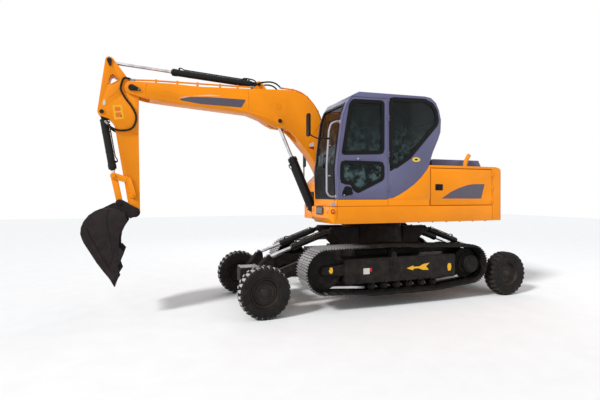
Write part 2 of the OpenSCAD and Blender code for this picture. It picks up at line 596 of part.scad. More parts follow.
// Side panes as corner points
rear_pane = [[237, 3280], [-419, 3301], [-560, 3250], [-640, 3151], [-675, 2990], [-655, 2907],
    [-135, 2353], [237, 2120]];
door_pane_top = [[930, 3120], [880, 3200], [380, 3215], [345, 3190], [345, 2410], [1050, 2376], [1045, 2440]];
door_pane_low = [[1075, 2270], [345, 2270], [345, 2010], [800, 1800], [870, 1850], [905, 1930], [1075, 1940]];
door_profile = [[1120, cab_base_z + 8], [1132, 2165], [1083, 2580], [1032, 2950], [968, 3130], [880, 3245],
    [door_rear_x + 4, 3255], [door_rear_x + 4, cab_base_z + 8]];
module side_opening() polygon(door_profile);
cab_hinge_z = [1860, 2400, 2960];
cab_hinge_x = door_rear_x + 1;
module cab_frame() at_axis() color(violet) {
    cab_shell();
    for (z = cab_hinge_z) translate([cab_hinge_x, half_w + hinge_out, z]) hinge_fixed();
}
module cab_shell() difference() {
    slab(cab_right_y, half_w) polygon(cab_profile);
    slab(cab_right_y + wall_t, half_w - wall_t) offset(delta = -wall_t) polygon(cab_profile);
    slab(half_w - wall_t - 1, half_w + 1) offset(delta = pane_gap) side_opening();
    slab(cab_right_y - 1, half_w + 1) rounded(20) polygon(rear_pane);
    slab(cab_right_y - 1, cab_right_y + wall_t + 1) rounded(20) polygon(door_pane_top);
    box([850, cab_right_y + 60, 1780], [1200, half_w - 110, 3160]);
    box([-800, cab_right_y + 90, 2500], [-400, half_w - 90, 3200]);
}
module cab_glass() at_axis() color("#30403c", 0.5) {
    intersection() {
        slab(cab_right_y + 60, half_w - 110) difference() {
            offset(delta = -8) polygon(cab_profile);
            offset(delta = -8 - glass_t) polygon(cab_profile);
        }
        box([850, 0, 1780], [1200, half_w, 3160]);
    }
    intersection() {
        slab(cab_right_y + 90, half_w - 90) difference() {
            offset(delta = -8) polygon(cab_profile);
            offset(delta = -8 - glass_t) polygon(cab_profile);
        }
        box([-800, 0, 2500], [-500, half_w, 3200]);
    }
    slab(half_w - 14, half_w - 14 + glass_t) offset(delta = -run_gap) rounded(20) polygon(rear_pane);
    slab(cab_right_y + 8, cab_right_y + 8 + glass_t) offset(delta = -run_gap) rounded(20) polygon(rear_pane);
    slab(cab_right_y + 8, cab_right_y + 8 + glass_t) offset(delta = -run_gap) rounded(20)
        polygon(door_pane_top);
}
module cab_door() at_axis() color(violet) {
    door_panel();
    for (z = cab_hinge_z) translate([cab_hinge_x, half_w + hinge_out, z]) hinge_moving();
}
module door_panel() difference() {
    slab(half_w - wall_t + 2, half_w) side_opening();
    slab(half_w - wall_t, half_w + 1) rounded(20) polygon(door_pane_top);
    slab(half_w - wall_t, half_w + 1) rounded(20) polygon(door_pane_low);
}
module door_glass() at_axis() color("#30403c", 0.5) slab(half_w - 14, half_w - 14 + glass_t) {
    offset(delta = -run_gap) rounded(20) polygon(door_pane_top);
    offset(delta = -run_gap) rounded(20) polygon(door_pane_low);
}
seat_y = (cab_right_y + half_w) / 2;
pedestal_z = 2148;
module seat() at_axis() color("#2a2a2c") {
    slab(seat_y - 240, seat_y + 240) rounded(50) polygon([[-60, pedestal_z + run_gap],
        [440, pedestal_z + run_gap], [440, 2290], [-60, 2280]]);
    slab(seat_y - 230, seat_y + 230) rounded(50) polygon([[-70, 2280.3], [70, 2282.9], [-10, 2900],
        [-130, 2890]]);
}
module controls() at_axis() color("#3c3c40") intersection() {
    control_set();
    slab(cab_right_y + wall_t, half_w - wall_t) offset(delta = -wall_t) polygon(cab_profile);
}
module control_set() {
    box([-60, seat_y - 200, cab_base_z], [330, seat_y + 200, pedestal_z]);
    for (s = [-1, 1]) translate([0, seat_y + s * 320, 0]) {
        box([-40, -50, cab_base_z], [420, 50, 2260]);
        translate([340, 0, 2255]) cylinder(r = 14, h = 180);
        translate([340, 0, 2420]) cylinder(r = 26, h = 110);
    }
    for (s = [-1, 1]) translate([800, seat_y + s * 70, cab_base_z]) cylinder(r = 12, h = 465);
    box([930, cab_right_y + 70, cab_base_z], [1030, cab_right_y + 200, 2300]);
}
module tube(points, r) for (i = [0 : len(points) - 2]) {
    v = points[i + 1] - points[i];
    translate(points[i]) rotate([0, acos(v.z / norm(v)), atan2(v.y, v.x)]) cylinder(r = r, h = norm(v), $fn = 24);
    if (i < len(points) - 2) translate(points[i + 1]) sphere(r * 1.08, $fn = 24);
}
// Distances of the rails inboard of the body's side: at the cab, at their bends and at their grip
rail_in = [75, 50, 35];
tank_rail_in = 40;
rail_r = 14;
module rails() at_axis() color("silver") {
    tube([[1052.4, half_w - rail_in[0], 2868], [1100, half_w - rail_in[0], 2874.3], [1215, half_w - rail_in[1], 2830],
        [1255, half_w - rail_in[2], 2714], [1290, half_w - rail_in[2], 2200],
        [1290, half_w - rail_in[2], 1800], [1230, half_w - rail_in[1], 1740],
        [1170, half_w - rail_in[0], 1740], [1124.4, half_w - rail_in[0], 1740]], rail_r);
    tube([[880.3, tank_rail_in - half_w, 1730], [930, tank_rail_in - half_w, 1730],
        [930, tank_rail_in - half_w, 2480], [620, tank_rail_in - half_w, 2550],
        [500, tank_rail_in - half_w, 2500], [500, tank_rail_in - half_w, 2160.3]], rail_r);
    tube([[1264, half_w - 35, 2600], [1450, half_w - 25, 2600], [1565, half_w - 25, 2700]], 9);
    box([1550, half_w - 120, 2620], [1585, half_w, 2960]);
    box([915, 20 - half_w, 2300], [945, 140 - half_w, 2560]);
}

// ---- Working arm ----
boom_top = [[3975, 3446], [3451, 3457], [2995, 3450], [2185, 3488], [1560, 3523], [1400, 3505],
    [1285, 3460], [1180, 3380], [1081, 3268], [1006, 3133], [955, 2985], [900, 2780], [boom_foot.x - 92, boom_foot.y]];
boom_under = [[boom_foot.x + 92, boom_foot.y], [1000, 2160], [1081, 2308], [1193, 2479], [1304, 2596], [1432, 2745],
    [1522, 2826], [1640, 2885], [1789, 2897], [1894, 2942], [2014, 3018], [2235, 3095], [2995, 3148],
    [3525, 3180], [3800, 3205], [3990, 3250]];
module boom_side() {
    polygon(concat(boom_top, boom_under));
    disc(boom_foot, 95);
    disc(stick_pin, 98);
}
ram_pocket_r = 165;
ram_notch = ram_barrel_r(boom_ram) + 11;
module boom() at_axis() color(orange) {
    boom_body();
    slab(boom_y - boom_w / 2 - 8, boom_y + boom_w / 2 + 8) disc(stick_pin, boom_pin_r);
}
module boom_body() difference() {
    union() {
        slab(boom_y - boom_w / 2, boom_y + boom_w / 2) boom_side();
        ears(boom_y, ram_eye_w(arm_ram)) polygon([[1890, 3470], [2200, 3470], [2112, 3560], [2100, 3625],
            [2049, 3648], [1990, 3630]]);
        ear_pin(arm_ram_foot, boom_y, ram_eye_w(arm_ram));
        pin_heads(boom_ram_eye, boom_y, boom_w - 2 * ear_t);
    }
    slab(boom_y - ram_eye_w(boom_ram) / 2 - ear_gap, boom_y + ram_eye_w(boom_ram) / 2 + ear_gap) {
        disc(boom_ram_eye, ram_pocket_r);
        polygon([boom_ram_eye + [-200, 40], boom_ram_eye + [165, 40], boom_ram_eye + [165, -300],
            boom_ram_eye + [-500, -700]]);
    }
    slab(boom_y - ram_notch, boom_y + ram_notch) bar([1178, 1895], [1550, 2848], 94);
    slab(boom_y - boom_w, boom_y + boom_w) disc(boom_foot, boom_pin_r + run_gap);
    // the nose is a fork round the stick
    slab(boom_y - stick_w / 2 - ear_gap, boom_y + stick_w / 2 + ear_gap)
        polygon([[3850, 3480], [3850, 3700], [4300, 3700], [4300, 3000], [3674, 3000], [3740, 3180]]);
}
// Top edge of the boom's straight part, as [x, z], and the pipes' clips on it
boom_crest = [[2185, 3488], [2995, 3450], [3451, 3457], [3975, 3446]];
pipe_clips = [2420, 2700, 3050, 3350, 3660];
pipe_r = 14;
pipe_h = 30;
pipe_run = [2380, 3700];
pipe_top = [lookup(pipe_run[0], boom_crest) + pipe_h, lookup(pipe_run[1], boom_crest) + pipe_h];
function pipe_z(x) = lookup(x, [[pipe_run[0], pipe_top[0]], [pipe_run[1], pipe_top[1]]]);
module boom_pipes() at_axis() color(orange) for (s = [-1, 1]) {
    translate([0, boom_y + s * 110, 0]) along([pipe_run[0], pipe_top[0]], [pipe_run[1], pipe_top[1]], 0)
        cylinder(r = pipe_r, h = norm([pipe_run[1] - pipe_run[0], pipe_top[1] - pipe_top[0]]));
    for (x = pipe_clips) slab(boom_y + s * 110 - 24, boom_y + s * 110 + 24)
        polygon([[x - 16, lookup(x - 16, boom_crest)], [x + 16, lookup(x + 16, boom_crest)],
            [x + 16, pipe_z(x) + pipe_r + 8], [x - 16, pipe_z(x) + pipe_r + 8]]);
}
module boom_ram_barrel() at_axis() color("#1f1f21") ram_barrel(boom_ram, boom_ram_foot, boom_ram_eye, boom_y);
module boom_ram_rod() at_axis() color("silver") ram_rod(boom_ram, boom_ram_foot, boom_ram_eye, boom_y);
module arm_ram_barrel() at_axis() color("#1f1f21") ram_barrel(arm_ram, arm_ram_foot, stick_head, boom_y);
module arm_ram_rod() at_axis() color("silver") ram_rod(arm_ram, arm_ram_foot, stick_head, boom_y);

stick_upper = [[4262, 3771], [4356, 3745], [4461, 2990], [4420, 2915], [4302, 2880], [4235, 2790], [4221, 2688],
    [3905, 2688], [3902, 3348], [4055, 3493]];
module stick_cheek() {
    polygon(stick_upper);
    disc(stick_head, 54);
    disc(bucket_ram_foot, 58);
    disc(stick_pin, 98);
}
module stick() at_axis() color(orange) {
    stick_body();
    slab(boom_y - 50, boom_y + 50) disc(bucket_ram_foot, pin_r);
}
module stick_body() difference() {
    union() {
        slab(boom_y - stick_w / 2, boom_y + stick_w / 2) stick_cheek();
        slab(boom_y - stick_foot_w / 2, boom_y + stick_foot_w / 2) {
            polygon([[4221, 2700], [3905, 2700], [bucket_pin.x - 72, bucket_pin.y], [bucket_pin.x + 72, bucket_pin.y]]);
            disc(bucket_pin, 75);
        }
        pin_heads(stick_head, boom_y, stick_w - 2 * ear_t);
    }
    slab(boom_y - stick_w, boom_y + stick_w) disc(stick_pin, boom_pin_r + run_gap);
    // slot for the arm ram's eye
    slab(boom_y - ram_eye_w(arm_ram) / 2 - ear_gap, boom_y + ram_eye_w(arm_ram) / 2 + ear_gap) {
        disc(stick_head, 130);
        polygon([[4340, 3692], [4050, 3483], [3950, 3600], [4150, 3900], [4450, 3900], [4420, 3760]]);
    }
    // slot for the bucket ram's foot
    slab(boom_y - ram_eye_w(bucket_ram) / 2 - ear_gap, boom_y + ram_eye_w(bucket_ram) / 2 + ear_gap)
        disc(bucket_ram_foot, 70);
    // the barrel passes down before the box
    slab(boom_y - 62, boom_y + 62) polygon([bucket_ram_foot + [-95, -60], bucket_ram_foot + [100, -40],
        bucket_ram_foot + [100, -300], bucket_ram_foot + [-110, -300]]);
    slab(boom_y - stick_w, boom_y + stick_w) {
        rounded(16) polygon([[4275, 3545], [4335, 3349], [4165, 3467]]);
        disc(bucket_pin, pin_r + 10 + run_gap);
        disc(guide_foot, pin_r + run_gap);
    }
}
// A hose that lies along the stick's left side, as [x, z] points, and its smooth line
hose_line = [[4105, 3480], [4136, 3410], [4147, 3312], [4092, 3198], [4010, 3086], [3955, 2986],
    [3938, 2898], [3968, 2791], [4024, 2735], [4120, 2712], [4201, 2715], [4290, 2757]];
hose_r = 17;
hose_steps = 6;
hose_sides = 12;
function spline(a, b, c, d, t) = 0.5 * (2 * b + (c - a) * t + (2 * a - 5 * b + 4 * c - d) * t * t
    + (3 * b - a - 3 * c + d) * t * t * t);
function smooth(p, steps) = let (n = len(p) - 1) concat([for (i = [0 : n - 1], k = [0 : steps - 1])
    spline(p[max(i - 1, 0)], p[i], p[i + 1], p[min(i + 2, n)], k / steps)], [p[n]]);
function across(p, i) = let (v = p[min(i + 1, len(p) - 1)] - p[max(i - 1, 0)]) [-v.y, v.x] / norm(v);
module hose(line, y, r, sides) {
    n = len(line);
    rings = [for (i = [0 : n - 1], k = [0 : sides - 1]) let (m = line[i] + across(line, i) * r * cos(k * 360 / sides))
        [m.x, y + r * sin(k * 360 / sides), m.y]];
    skins = [for (i = [0 : n - 2], k = [0 : sides - 1]) let (j = (k + 1) % sides)
        [i * sides + k, (i + 1) * sides + k, (i + 1) * sides + j, i * sides + j]];
    polyhedron(rings, concat(skins, [[for (k = [0 : sides - 1]) k]],
        [[for (k = [sides - 1 : -1 : 0]) (n - 1) * sides + k]]), convexity = 6);
}
module stick_hoses() at_axis() color("#161616")
    hose(smooth(hose_line, hose_steps), boom_y + stick_w / 2 + hose_r + run_gap, hose_r, hose_sides);
module bucket_ram_barrel() at_axis() color("#1f1f21") ram_barrel(bucket_ram, bucket_ram_foot, guide_eye, boom_y);
module bucket_ram_rod() at_axis() color("silver") ram_rod(bucket_ram, bucket_ram_foot, guide_eye, boom_y);
guide_in = stick_foot_w / 2 + 4;
module guide_links() at_axis() color(orange) {
    for (s = [-1, 1]) translate([0, boom_y + s * (guide_in + 13), 0]) slab(-13, 13) {
        strut(guide_foot, [4040, 1985], 50, 46);
        strut([4040, 1985], guide_eye, 46, 45);
    }
    slab(boom_y - guide_in - 30, boom_y + guide_in + 30) disc(guide_foot, pin_r);
    for (s = [-1, 1]) translate([0, boom_y + s * (guide_in + 30), 0]) slab(-6, 6) disc(guide_eye, 30);
    for (s = [-1, 1]) translate([0, boom_y + s * (guide_in - 20), 0]) slab(-22, 22) disc(guide_eye, pin_r);
}
link_half = stick_foot_w / 2 - 3;
module bucket_link() at_axis() color(orange) {
    for (s = [-1, 1]) translate([0, boom_y + s * (link_half - 14), 0]) slab(-14, 14) difference() {
        strut(guide_eye, link_eye, 42, 40);
        disc(guide_eye, pin_r + run_gap);
    }
    slab(boom_y - link_half, boom_y + link_half) strut(link_eye + [12, 60], link_eye, 36, 40);
}
bowl = [[4235, 500], [4175, 740], [4166, 943], [4168, 1093], [4152, 1197], [4111, 1285], [4020, 1404],
    [3971, 1430], [4041, 1600], [4152, 1690], [4207, 1675], [4302, 1612], [4397, 1573], [4464, 1544],
    [4543, 1487], [4609, 1400], [4642, 1313], [4648, 1226], [4609, 1108], [4437, 808]];
bucket_y = [boom_y - bucket_w / 2, boom_y + bucket_w / 2];
ear_in = stick_foot_w / 2 + 4;
// Cutting edges on the mouth's sides, as [x, z]
side_cutter = [[4200, 1010], [4151, 1010], [4096, 942], [4141, 812], [4181, 748], [4141, 635], [4198, 540],
    [4250, 560], [4262, 760]];
module bucket() at_axis() color("#2b2426") {
    for (y = [bucket_y[0], bucket_y[1] - shell_t]) slab(y, y + shell_t) polygon(side_cutter);
    difference() {
        slab(bucket_y[0], bucket_y[1]) polygon(bowl_shell);
        slab(bucket_y[0] + shell_t, bucket_y[1] - shell_t) union() {
            offset(delta = -shell_t) polygon(bowl_shell);
            translate([-60, -10]) offset(delta = -shell_t) polygon(bowl_shell);
            translate([-160, -20]) offset(delta = -shell_t) polygon(bowl_shell);
        }
    }
    for (s = [-1, 1]) translate([0, boom_y + s * (ear_in + 14), 0]) slab(-14, 14) difference() {
        union() {
            strut(bucket_pin, link_eye, 74, 56);
            polygon([bucket_pin + [-20, -60], bucket_pin + [60, -90], [4180, 1500], [4420, 1560], [4250, 1650], link_eye]);
        }
    }
    slab(boom_y - ear_in - 34, boom_y + ear_in + 34) disc(bucket_pin, pin_r + 10);
    for (s = [-1, 1]) translate([0, boom_y + s * (ear_in + 32), 0]) slab(-5, 5) disc(link_eye, 30);
    for (i = [0 : teeth - 1])
        translate([0, bucket_y[0] + 45 + i * (bucket_w - 90) / (teeth - 1), 0]) slab(-32, 32)
            polygon([[4290, 600], [4221, 469], [4205, 480], [4225, 640]]);
}
bowl_shell = [[4235, 520], [4175, 740], [4166, 943], [4168, 1093], [4152, 1197], [4111, 1285], [4050, 1380],
    [4090, 1520], [4200, 1560], [4302, 1580], [4397, 1573], [4464, 1544], [4543, 1487], [4609, 1400],
    [4642, 1313], [4648, 1226], [4609, 1108], [4437, 808]];

lower_frame();
slew_ring();
track_left();
track_right();
track_wheels();
front_axle();
rear_axle();
knuckle_left();
knuckle_right();
tie_rod();
tyre_front_left();
tyre_front_right();
tyre_rear_left();
tyre_rear_right();
rim_front_left();
rim_front_right();
rim_rear_left();
rim_rear_right();
front_lift_barrels();
front_lift_rods();
rear_lift_barrels();
rear_lift_rods();
deck();
counterweight();
side_body();
right_tank();
engine();
hood();
side_door_left();
side_door_right();
cab_frame();
cab_glass();
cab_door();
door_glass();
seat();
controls();
rails();
boom();
boom_pipes();
boom_ram_barrel();
boom_ram_rod();
arm_ram_barrel();
arm_ram_rod();
stick();
stick_hoses();
bucket_ram_barrel();
bucket_ram_rod();
guide_links();
bucket_link();
bucket();
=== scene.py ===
"""Looks of a wheel crawler excavator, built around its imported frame.

Lengths are in metres. plan() turns a point given from the swing axis, in millimetres, into the frame.
"""

import json
from math import acos, atan2, cos, exp, pi, radians, sin, tan, tau

import bmesh
import bpy
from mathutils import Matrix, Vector


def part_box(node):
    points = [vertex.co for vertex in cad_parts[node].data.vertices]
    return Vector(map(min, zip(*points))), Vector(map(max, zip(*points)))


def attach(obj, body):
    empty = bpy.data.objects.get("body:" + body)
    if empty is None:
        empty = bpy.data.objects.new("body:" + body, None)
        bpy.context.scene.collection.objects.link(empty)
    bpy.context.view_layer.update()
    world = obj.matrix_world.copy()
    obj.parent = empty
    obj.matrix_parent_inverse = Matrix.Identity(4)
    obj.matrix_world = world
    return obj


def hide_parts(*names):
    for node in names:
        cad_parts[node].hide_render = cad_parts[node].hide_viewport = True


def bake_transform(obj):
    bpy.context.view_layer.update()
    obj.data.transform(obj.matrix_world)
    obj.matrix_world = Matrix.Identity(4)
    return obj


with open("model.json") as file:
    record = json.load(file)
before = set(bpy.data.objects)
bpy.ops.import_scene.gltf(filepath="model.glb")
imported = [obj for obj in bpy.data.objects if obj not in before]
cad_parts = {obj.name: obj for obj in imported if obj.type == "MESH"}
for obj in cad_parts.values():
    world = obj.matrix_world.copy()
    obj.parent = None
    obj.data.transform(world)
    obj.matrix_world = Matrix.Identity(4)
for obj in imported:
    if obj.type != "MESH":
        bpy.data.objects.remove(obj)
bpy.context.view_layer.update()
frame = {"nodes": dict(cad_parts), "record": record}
NODES = frame["nodes"]
JOINT_AT = {row["name"]: row.get("pos_m") for row in frame["record"]["behaviour"]["joints"]}
SWING_X = JOINT_AT["swing"][0]


def plan(x, y, z):
    """A point in millimetres from the swing axis, in metres in the frame."""
    return Vector((x / 1000 + SWING_X, y / 1000, z / 1000))


# ---- Camera ----
CAMERA_AT = (3.79 + SWING_X, 6.68, 1.75)
CAMERA_TURN = radians(20.0)
FOCAL_PX = 421.0
IMAGE_W = 600.0
HORIZON_PX = 196.0
IMAGE_MID = 200.0

camera = bpy.data.objects.new("camera", bpy.data.cameras.new("camera"))
bpy.context.collection.objects.link(camera)
camera.data.sensor_width = 36.0
camera.data.lens = FOCAL_PX / IMAGE_W * 36.0
camera.data.shift_y = (HORIZON_PX - IMAGE_MID) / IMAGE_W
camera.data.clip_end = 200
camera.location = CAMERA_AT
camera.rotation_euler = (pi / 2, 0, pi - CAMERA_TURN)
bpy.context.scene.camera = camera


# ---- Materials ----
def linear(rgb):
    """Linear colour of an sRGB colour given from 0 to 255."""
    unit = [c / 255 for c in rgb]
    return (*(c / 12.92 if c <= 0.04045 else ((c + 0.055) / 1.055) ** 2.4 for c in unit), 1.0)


def toned(rgb, share):
    """Linear colour of an sRGB colour made darker or lighter."""
    return linear([c * share for c in rgb])


class Nodes:
    """Short names for building one material's node tree."""

    def __init__(self, name):
        self.mat = bpy.data.materials.new(name)
        self.mat.use_nodes = True
        self.tree = self.mat.node_tree
        self.bsdf = self.tree.nodes["Principled BSDF"]
        self.place = self.add("TexCoord", {}, "Object")

    def fill(self, node, inputs):
        """Link or set a node's inputs: each is a socket or a plain value."""
        for key, value in inputs.items():
            if isinstance(value, bpy.types.NodeSocket):
                self.tree.links.new(value, node.inputs[key])
            else:
                node.inputs[key].default_value = value

    def add(self, kind, inputs, out=0, **settings):
        """One output of a new node."""
        node = self.tree.nodes.new("ShaderNode" + kind)
        for key, value in settings.items():
            setattr(node, key, value)
        self.fill(node, inputs)
        return node.outputs[out]

    def stretched(self, scale):
        return self.add("Mapping", {"Vector": self.place, "Scale": scale})

    def noise(self, scale, detail=4.0, rough=0.55, vector=None, distortion=0.0):
        return self.add("TexNoise", {"Vector": vector or self.place, "Scale": scale, "Detail": detail,
                                     "Roughness": rough, "Distortion": distortion}, "Fac")

    def ramp(self, value, low, high, a=0.0, b=1.0):
        """From low to high, taken to a to b and held there."""
        ends = {"From Min": low, "From Max": high, "To Min": a, "To Max": b}
        return self.add("MapRange", {"Value": value, **ends}, "Result", clamp=True)

    def patches(self, scale, detail, low, high, a=0.0, b=1.0, rough=0.55):
        """Noise cut to what lies from low to high."""
        return self.ramp(self.noise(scale, detail, rough), low, high, a, b)

    def math(self, kind, a, b):
        return self.add("Math", {0: a, 1: b}, operation=kind)

    def mix(self, factor, a, b):
        return self.add("Mix", {0: factor, 6: a, 7: b}, 2, data_type="RGBA")

    def bump(self, height, strength, distance, under=None):
        inputs = {"Height": height, "Strength": strength, "Distance": distance}
        if under is not None:
            inputs["Normal"] = under
        return self.add("Bump", inputs)

    def along(self, axis):
        """How far along X, Y or Z a place lies, in metres."""
        return self.add("SeparateXYZ", {"Vector": self.place}, axis)

    def facing(self, way):
        """1 where a face looks that way, 0 where it looks across it."""
        normal = self.add("NewGeometry", {}, "Normal")
        return self.add("VectorMath", {0: normal, 1: way}, "Value", operation="DOT_PRODUCT")

    def surface(self, shade, rough, **sockets):
        """The material, finished. A socket's name has _ for its spaces."""
        self.fill(self.bsdf, {"Base Color": shade, "Roughness": rough})
        self.fill(self.bsdf, {key.replace("_", " "): value for key, value in sockets.items()})
        return self.mat


UP = (0, 0, 1)
DUST = (140, 118, 92)
DRY_DUST = (128, 110, 88)
RUBBER_DUST = (120, 108, 92)
RUST = (92, 58, 38)
# Painted front light: the way a face looks when it is painted paler, and the colour it is painted towards
PAINTED_LIGHT_WAY = (0.93, 0.12, 0.34)
PAINTED_LIGHT_COLOUR = (176, 173, 174)
# How strongly each kind of surface mirrors what is straight ahead; the white surroundings lift dark colours
PAINT_GLOSS = 0.14
METAL_GLOSS = 0.15
RUBBER_GLOSS = 0.12
GLASS_GLOSS = 0.16


def painted(name, colour, dust_and_reflection=0.25, chips=0.0, base=(70, 52, 40), rough=(0.28, 0.45), coat=0.25, tint=0.10):
    """Machine paint: uneven gloss, faint orange peel, dust on what faces up or lies low, and chips."""
    n = Nodes(name)
    main = linear(colour)
    deep = tuple(c * (1 - tint) for c in main[:3]) + (1.0,)
    shade = n.mix(n.patches(1.7, 5, 0.35, 0.68), main, deep)
    low = n.ramp(n.along("Z"), 0.2, 2.6, 1.0, 0.28)
    film = n.math("MULTIPLY", n.patches(9.0, 8, 0.42, 0.78, rough=0.65), low)
    top = n.math("MULTIPLY", n.ramp(n.facing(UP), 0.25, 0.95), 0.35)
    shade = n.mix(n.math("MULTIPLY", n.math("ADD", film, top), dust_and_reflection), shade, linear(DUST))
    streak = n.noise(3.0, 6, 0.6, n.stretched((6.0, 6.0, 0.7)))
    shade = n.mix(n.ramp(streak, 0.56, 0.86, 0.0, 0.22 * min(1.0, dust_and_reflection * 3)), shade, linear(base))
    if chips:
        spots = n.patches(38.0, 6, 0.70 - 0.05 * chips, 0.735, 0.0, 0.85, 0.7)
        shade = n.mix(n.math("MULTIPLY", spots, n.patches(2.3, 3, 0.52, 0.66)), shade, linear(base))
    peel = n.bump(n.noise(140.0, 2), 0.05, 0.001, n.bump(n.noise(4.0, 3), 0.06, 0.004))
    return n.surface(shade, n.patches(5.0, 6, 0.3, 0.75, *rough), Normal=peel, Coat_Weight=coat,
                     Coat_Roughness=0.12, Specular_IOR_Level=PAINT_GLOSS)


def painted_front_light(n, shade, amount):
    """Painted light: paler where a face looks towards the lit front and up, on the front half of the machine."""
    front = n.ramp(n.along("X"), -0.5, 0.2)
    facing = n.ramp(n.facing(PAINTED_LIGHT_WAY), 0.38, 0.85, 0.0, amount)
    return n.mix(n.math("MULTIPLY", front, facing), shade, linear(PAINTED_LIGHT_COLOUR))


def bare_metal(name, colour, rust=0.2, rough=(0.3, 0.6), metallic=0.8, dust_and_reflection=0.3, painted_light=0.0):
    """Worn or painted-over steel with rust blooms and dust, and with painted light that makes it paler where it
    faces the front and up.
    """
    n = Nodes(name)
    shade = n.mix(n.patches(12.0, 8, 0.35, 0.7, rough=0.7), linear(colour), toned(colour, 0.6))
    bloom = n.ramp(n.noise(5.0, 9, 0.72, distortion=0.6), 0.60 - rust * 0.2, 0.80, 0.0, 0.8)
    shade = n.mix(n.math("MULTIPLY", bloom, min(1.0, rust * 2)), shade, linear(RUST))
    shade = n.mix(n.math("MULTIPLY", n.patches(7.0, 6, 0.45, 0.8), dust_and_reflection), shade, linear(DRY_DUST))
    # Painted light on the faces towards the front
    if painted_light:
        shade = painted_front_light(n, shade, painted_light)
    pits = n.bump(n.noise(90.0, 6, 0.7), 0.25, 0.0015)
    return n.surface(shade, n.patches(22.0, 6, 0.3, 0.75, *rough), Normal=pits, Metallic=metallic,
                     Specular_IOR_Level=METAL_GLOSS)


def rubber(name, colour, dust_and_reflection=0.35, rough=(0.55, 0.85), painted_light=0.0):
    n = Nodes(name)
    shade = n.mix(n.patches(10.0, 6, 0.35, 0.7), linear(colour), toned(colour, 0.7))
    film = n.math("MULTIPLY", n.patches(6.0, 8, 0.42, 0.8, rough=0.7), dust_and_reflection)
    shade = n.mix(film, shade, linear(RUBBER_DUST))
    # Painted light on the faces towards the front
    if painted_light:
        shade = painted_front_light(n, shade, painted_light)
    grain = n.bump(n.noise(160.0, 4, 0.6), 0.2, 0.001)
    return n.surface(shade, n.patches(14.0, 5, 0.3, 0.7, *rough), Normal=grain, Specular_IOR_Level=RUBBER_GLOSS)


def polished(name):
    n = Nodes(name)
    shade = n.mix(n.patches(8.0, 4, 0.4, 0.7), linear((222, 224, 228)), linear((176, 178, 184)))
    brushed = n.noise(40.0, 3, 0.5, n.stretched((1, 40, 1)))
    return n.surface(shade, n.ramp(brushed, 0.3, 0.7, 0.10, 0.22), Metallic=1.0)


def glazed(name, colour, alpha):
    """Dark tinted glass with a painted reflection: paler blue-grey patches low on its panes."""
    n = Nodes(name)
    shade = n.mix(n.patches(2.2, 5, 0.4, 0.75), linear(colour), linear([c + 14 for c in colour]))
    # Painted reflection: towards the bottom of the panes, patches turn a pale blue grey
    low = n.ramp(n.along("Z"), 2.15, 2.95, 0.75, 0.0)
    dust_and_reflection = n.math("MULTIPLY", n.patches(8.0, 7, 0.46, 0.62, rough=0.7), low)
    n.mat.surface_render_method = "BLENDED"
    return n.surface(n.mix(dust_and_reflection, shade, linear((84, 106, 108))), n.patches(7.0, 5, 0.4, 0.8, 0.02, 0.10),
                     Alpha=alpha, Specular_IOR_Level=GLASS_GLOSS, IOR=1.5)


def moulded(name, colour, rough=(0.45, 0.65)):
    n = Nodes(name)
    shade = n.mix(n.patches(6.0, 5, 0.35, 0.7), linear(colour), toned(colour, 0.82))
    grain = n.bump(n.noise(420.0, 2), 0.18, 0.0006)
    return n.surface(shade, n.patches(11.0, 4, 0.3, 0.7, *rough), Normal=grain, Specular_IOR_Level=PAINT_GLOSS)


def woven(name, colour):
    n = Nodes(name)
    warp, weft = (n.add("TexWave", {"Vector": n.stretched(turn), "Scale": 1.0, "Distortion": 0.4}, "Fac")
                  for turn in ((520.0, 0, 0), (0, 520.0, 520.0)))
    shade = n.mix(n.patches(5.0, 5, 0.35, 0.7), linear(colour), toned(colour, 1.5))
    return n.surface(shade, 0.9, Normal=n.bump(n.math("MULTIPLY", warp, weft), 0.4, 0.001), Sheen_Weight=0.25)


ORANGE = painted("orange_paint", (238, 140, 14), dust_and_reflection=0.03, base=(120, 60, 20), rough=(0.3, 0.46), coat=0.05)
VIOLET = painted("violet_paint", (97, 97, 127), dust_and_reflection=0.03, base=(50, 48, 64), rough=(0.3, 0.45), coat=0.06,
                 tint=0.14)
FRAME = painted("dark_frame", (22, 20, 20), dust_and_reflection=0.10, base=(18, 17, 17), rough=(0.45, 0.65), coat=0.0)
# The shoes' front faces are painted paler, as painted light
TRACK = bare_metal("track_steel", (32, 30, 29), rust=0.12, rough=(0.5, 0.7), metallic=0.1, dust_and_reflection=0.10,
                   painted_light=0.75)
BUCKET = painted("bucket_paint", (33, 27, 29), dust_and_reflection=0.08, chips=0.7, base=(84, 56, 42), rough=(0.45, 0.62),
                 coat=0.0)
RAM = painted("ram_paint", (24, 24, 26), dust_and_reflection=0.06, base=(15, 15, 15), rough=(0.3, 0.45), coat=0.1)
CHROME = polished("rod_chrome")
TYRE = rubber("tyre", (30, 28, 27), dust_and_reflection=0.07)
RIM = painted("rim_paint", (40, 36, 35), dust_and_reflection=0.08, chips=0.5, base=(80, 52, 42), rough=(0.4, 0.6), coat=0.05)
RAIL = painted("rail_steel", (158, 156, 166), dust_and_reflection=0.06, base=(110, 100, 90), rough=(0.25, 0.4))
GLASS = glazed("glass", (9, 18, 17), 0.78)
CLOTH = woven("seat_fabric", (36, 42, 62))
PLASTIC = moulded("dark_plastic", (52, 52, 56))
BLACK = moulded("black_plastic", (14, 14, 15), rough=(0.4, 0.6))
HOSE = rubber("hose_rubber", (20, 20, 20), dust_and_reflection=0.12, rough=(0.4, 0.6))
ENGINE = bare_metal("engine_metal", (84, 86, 90), rust=0.15, rough=(0.4, 0.6), metallic=0.5)
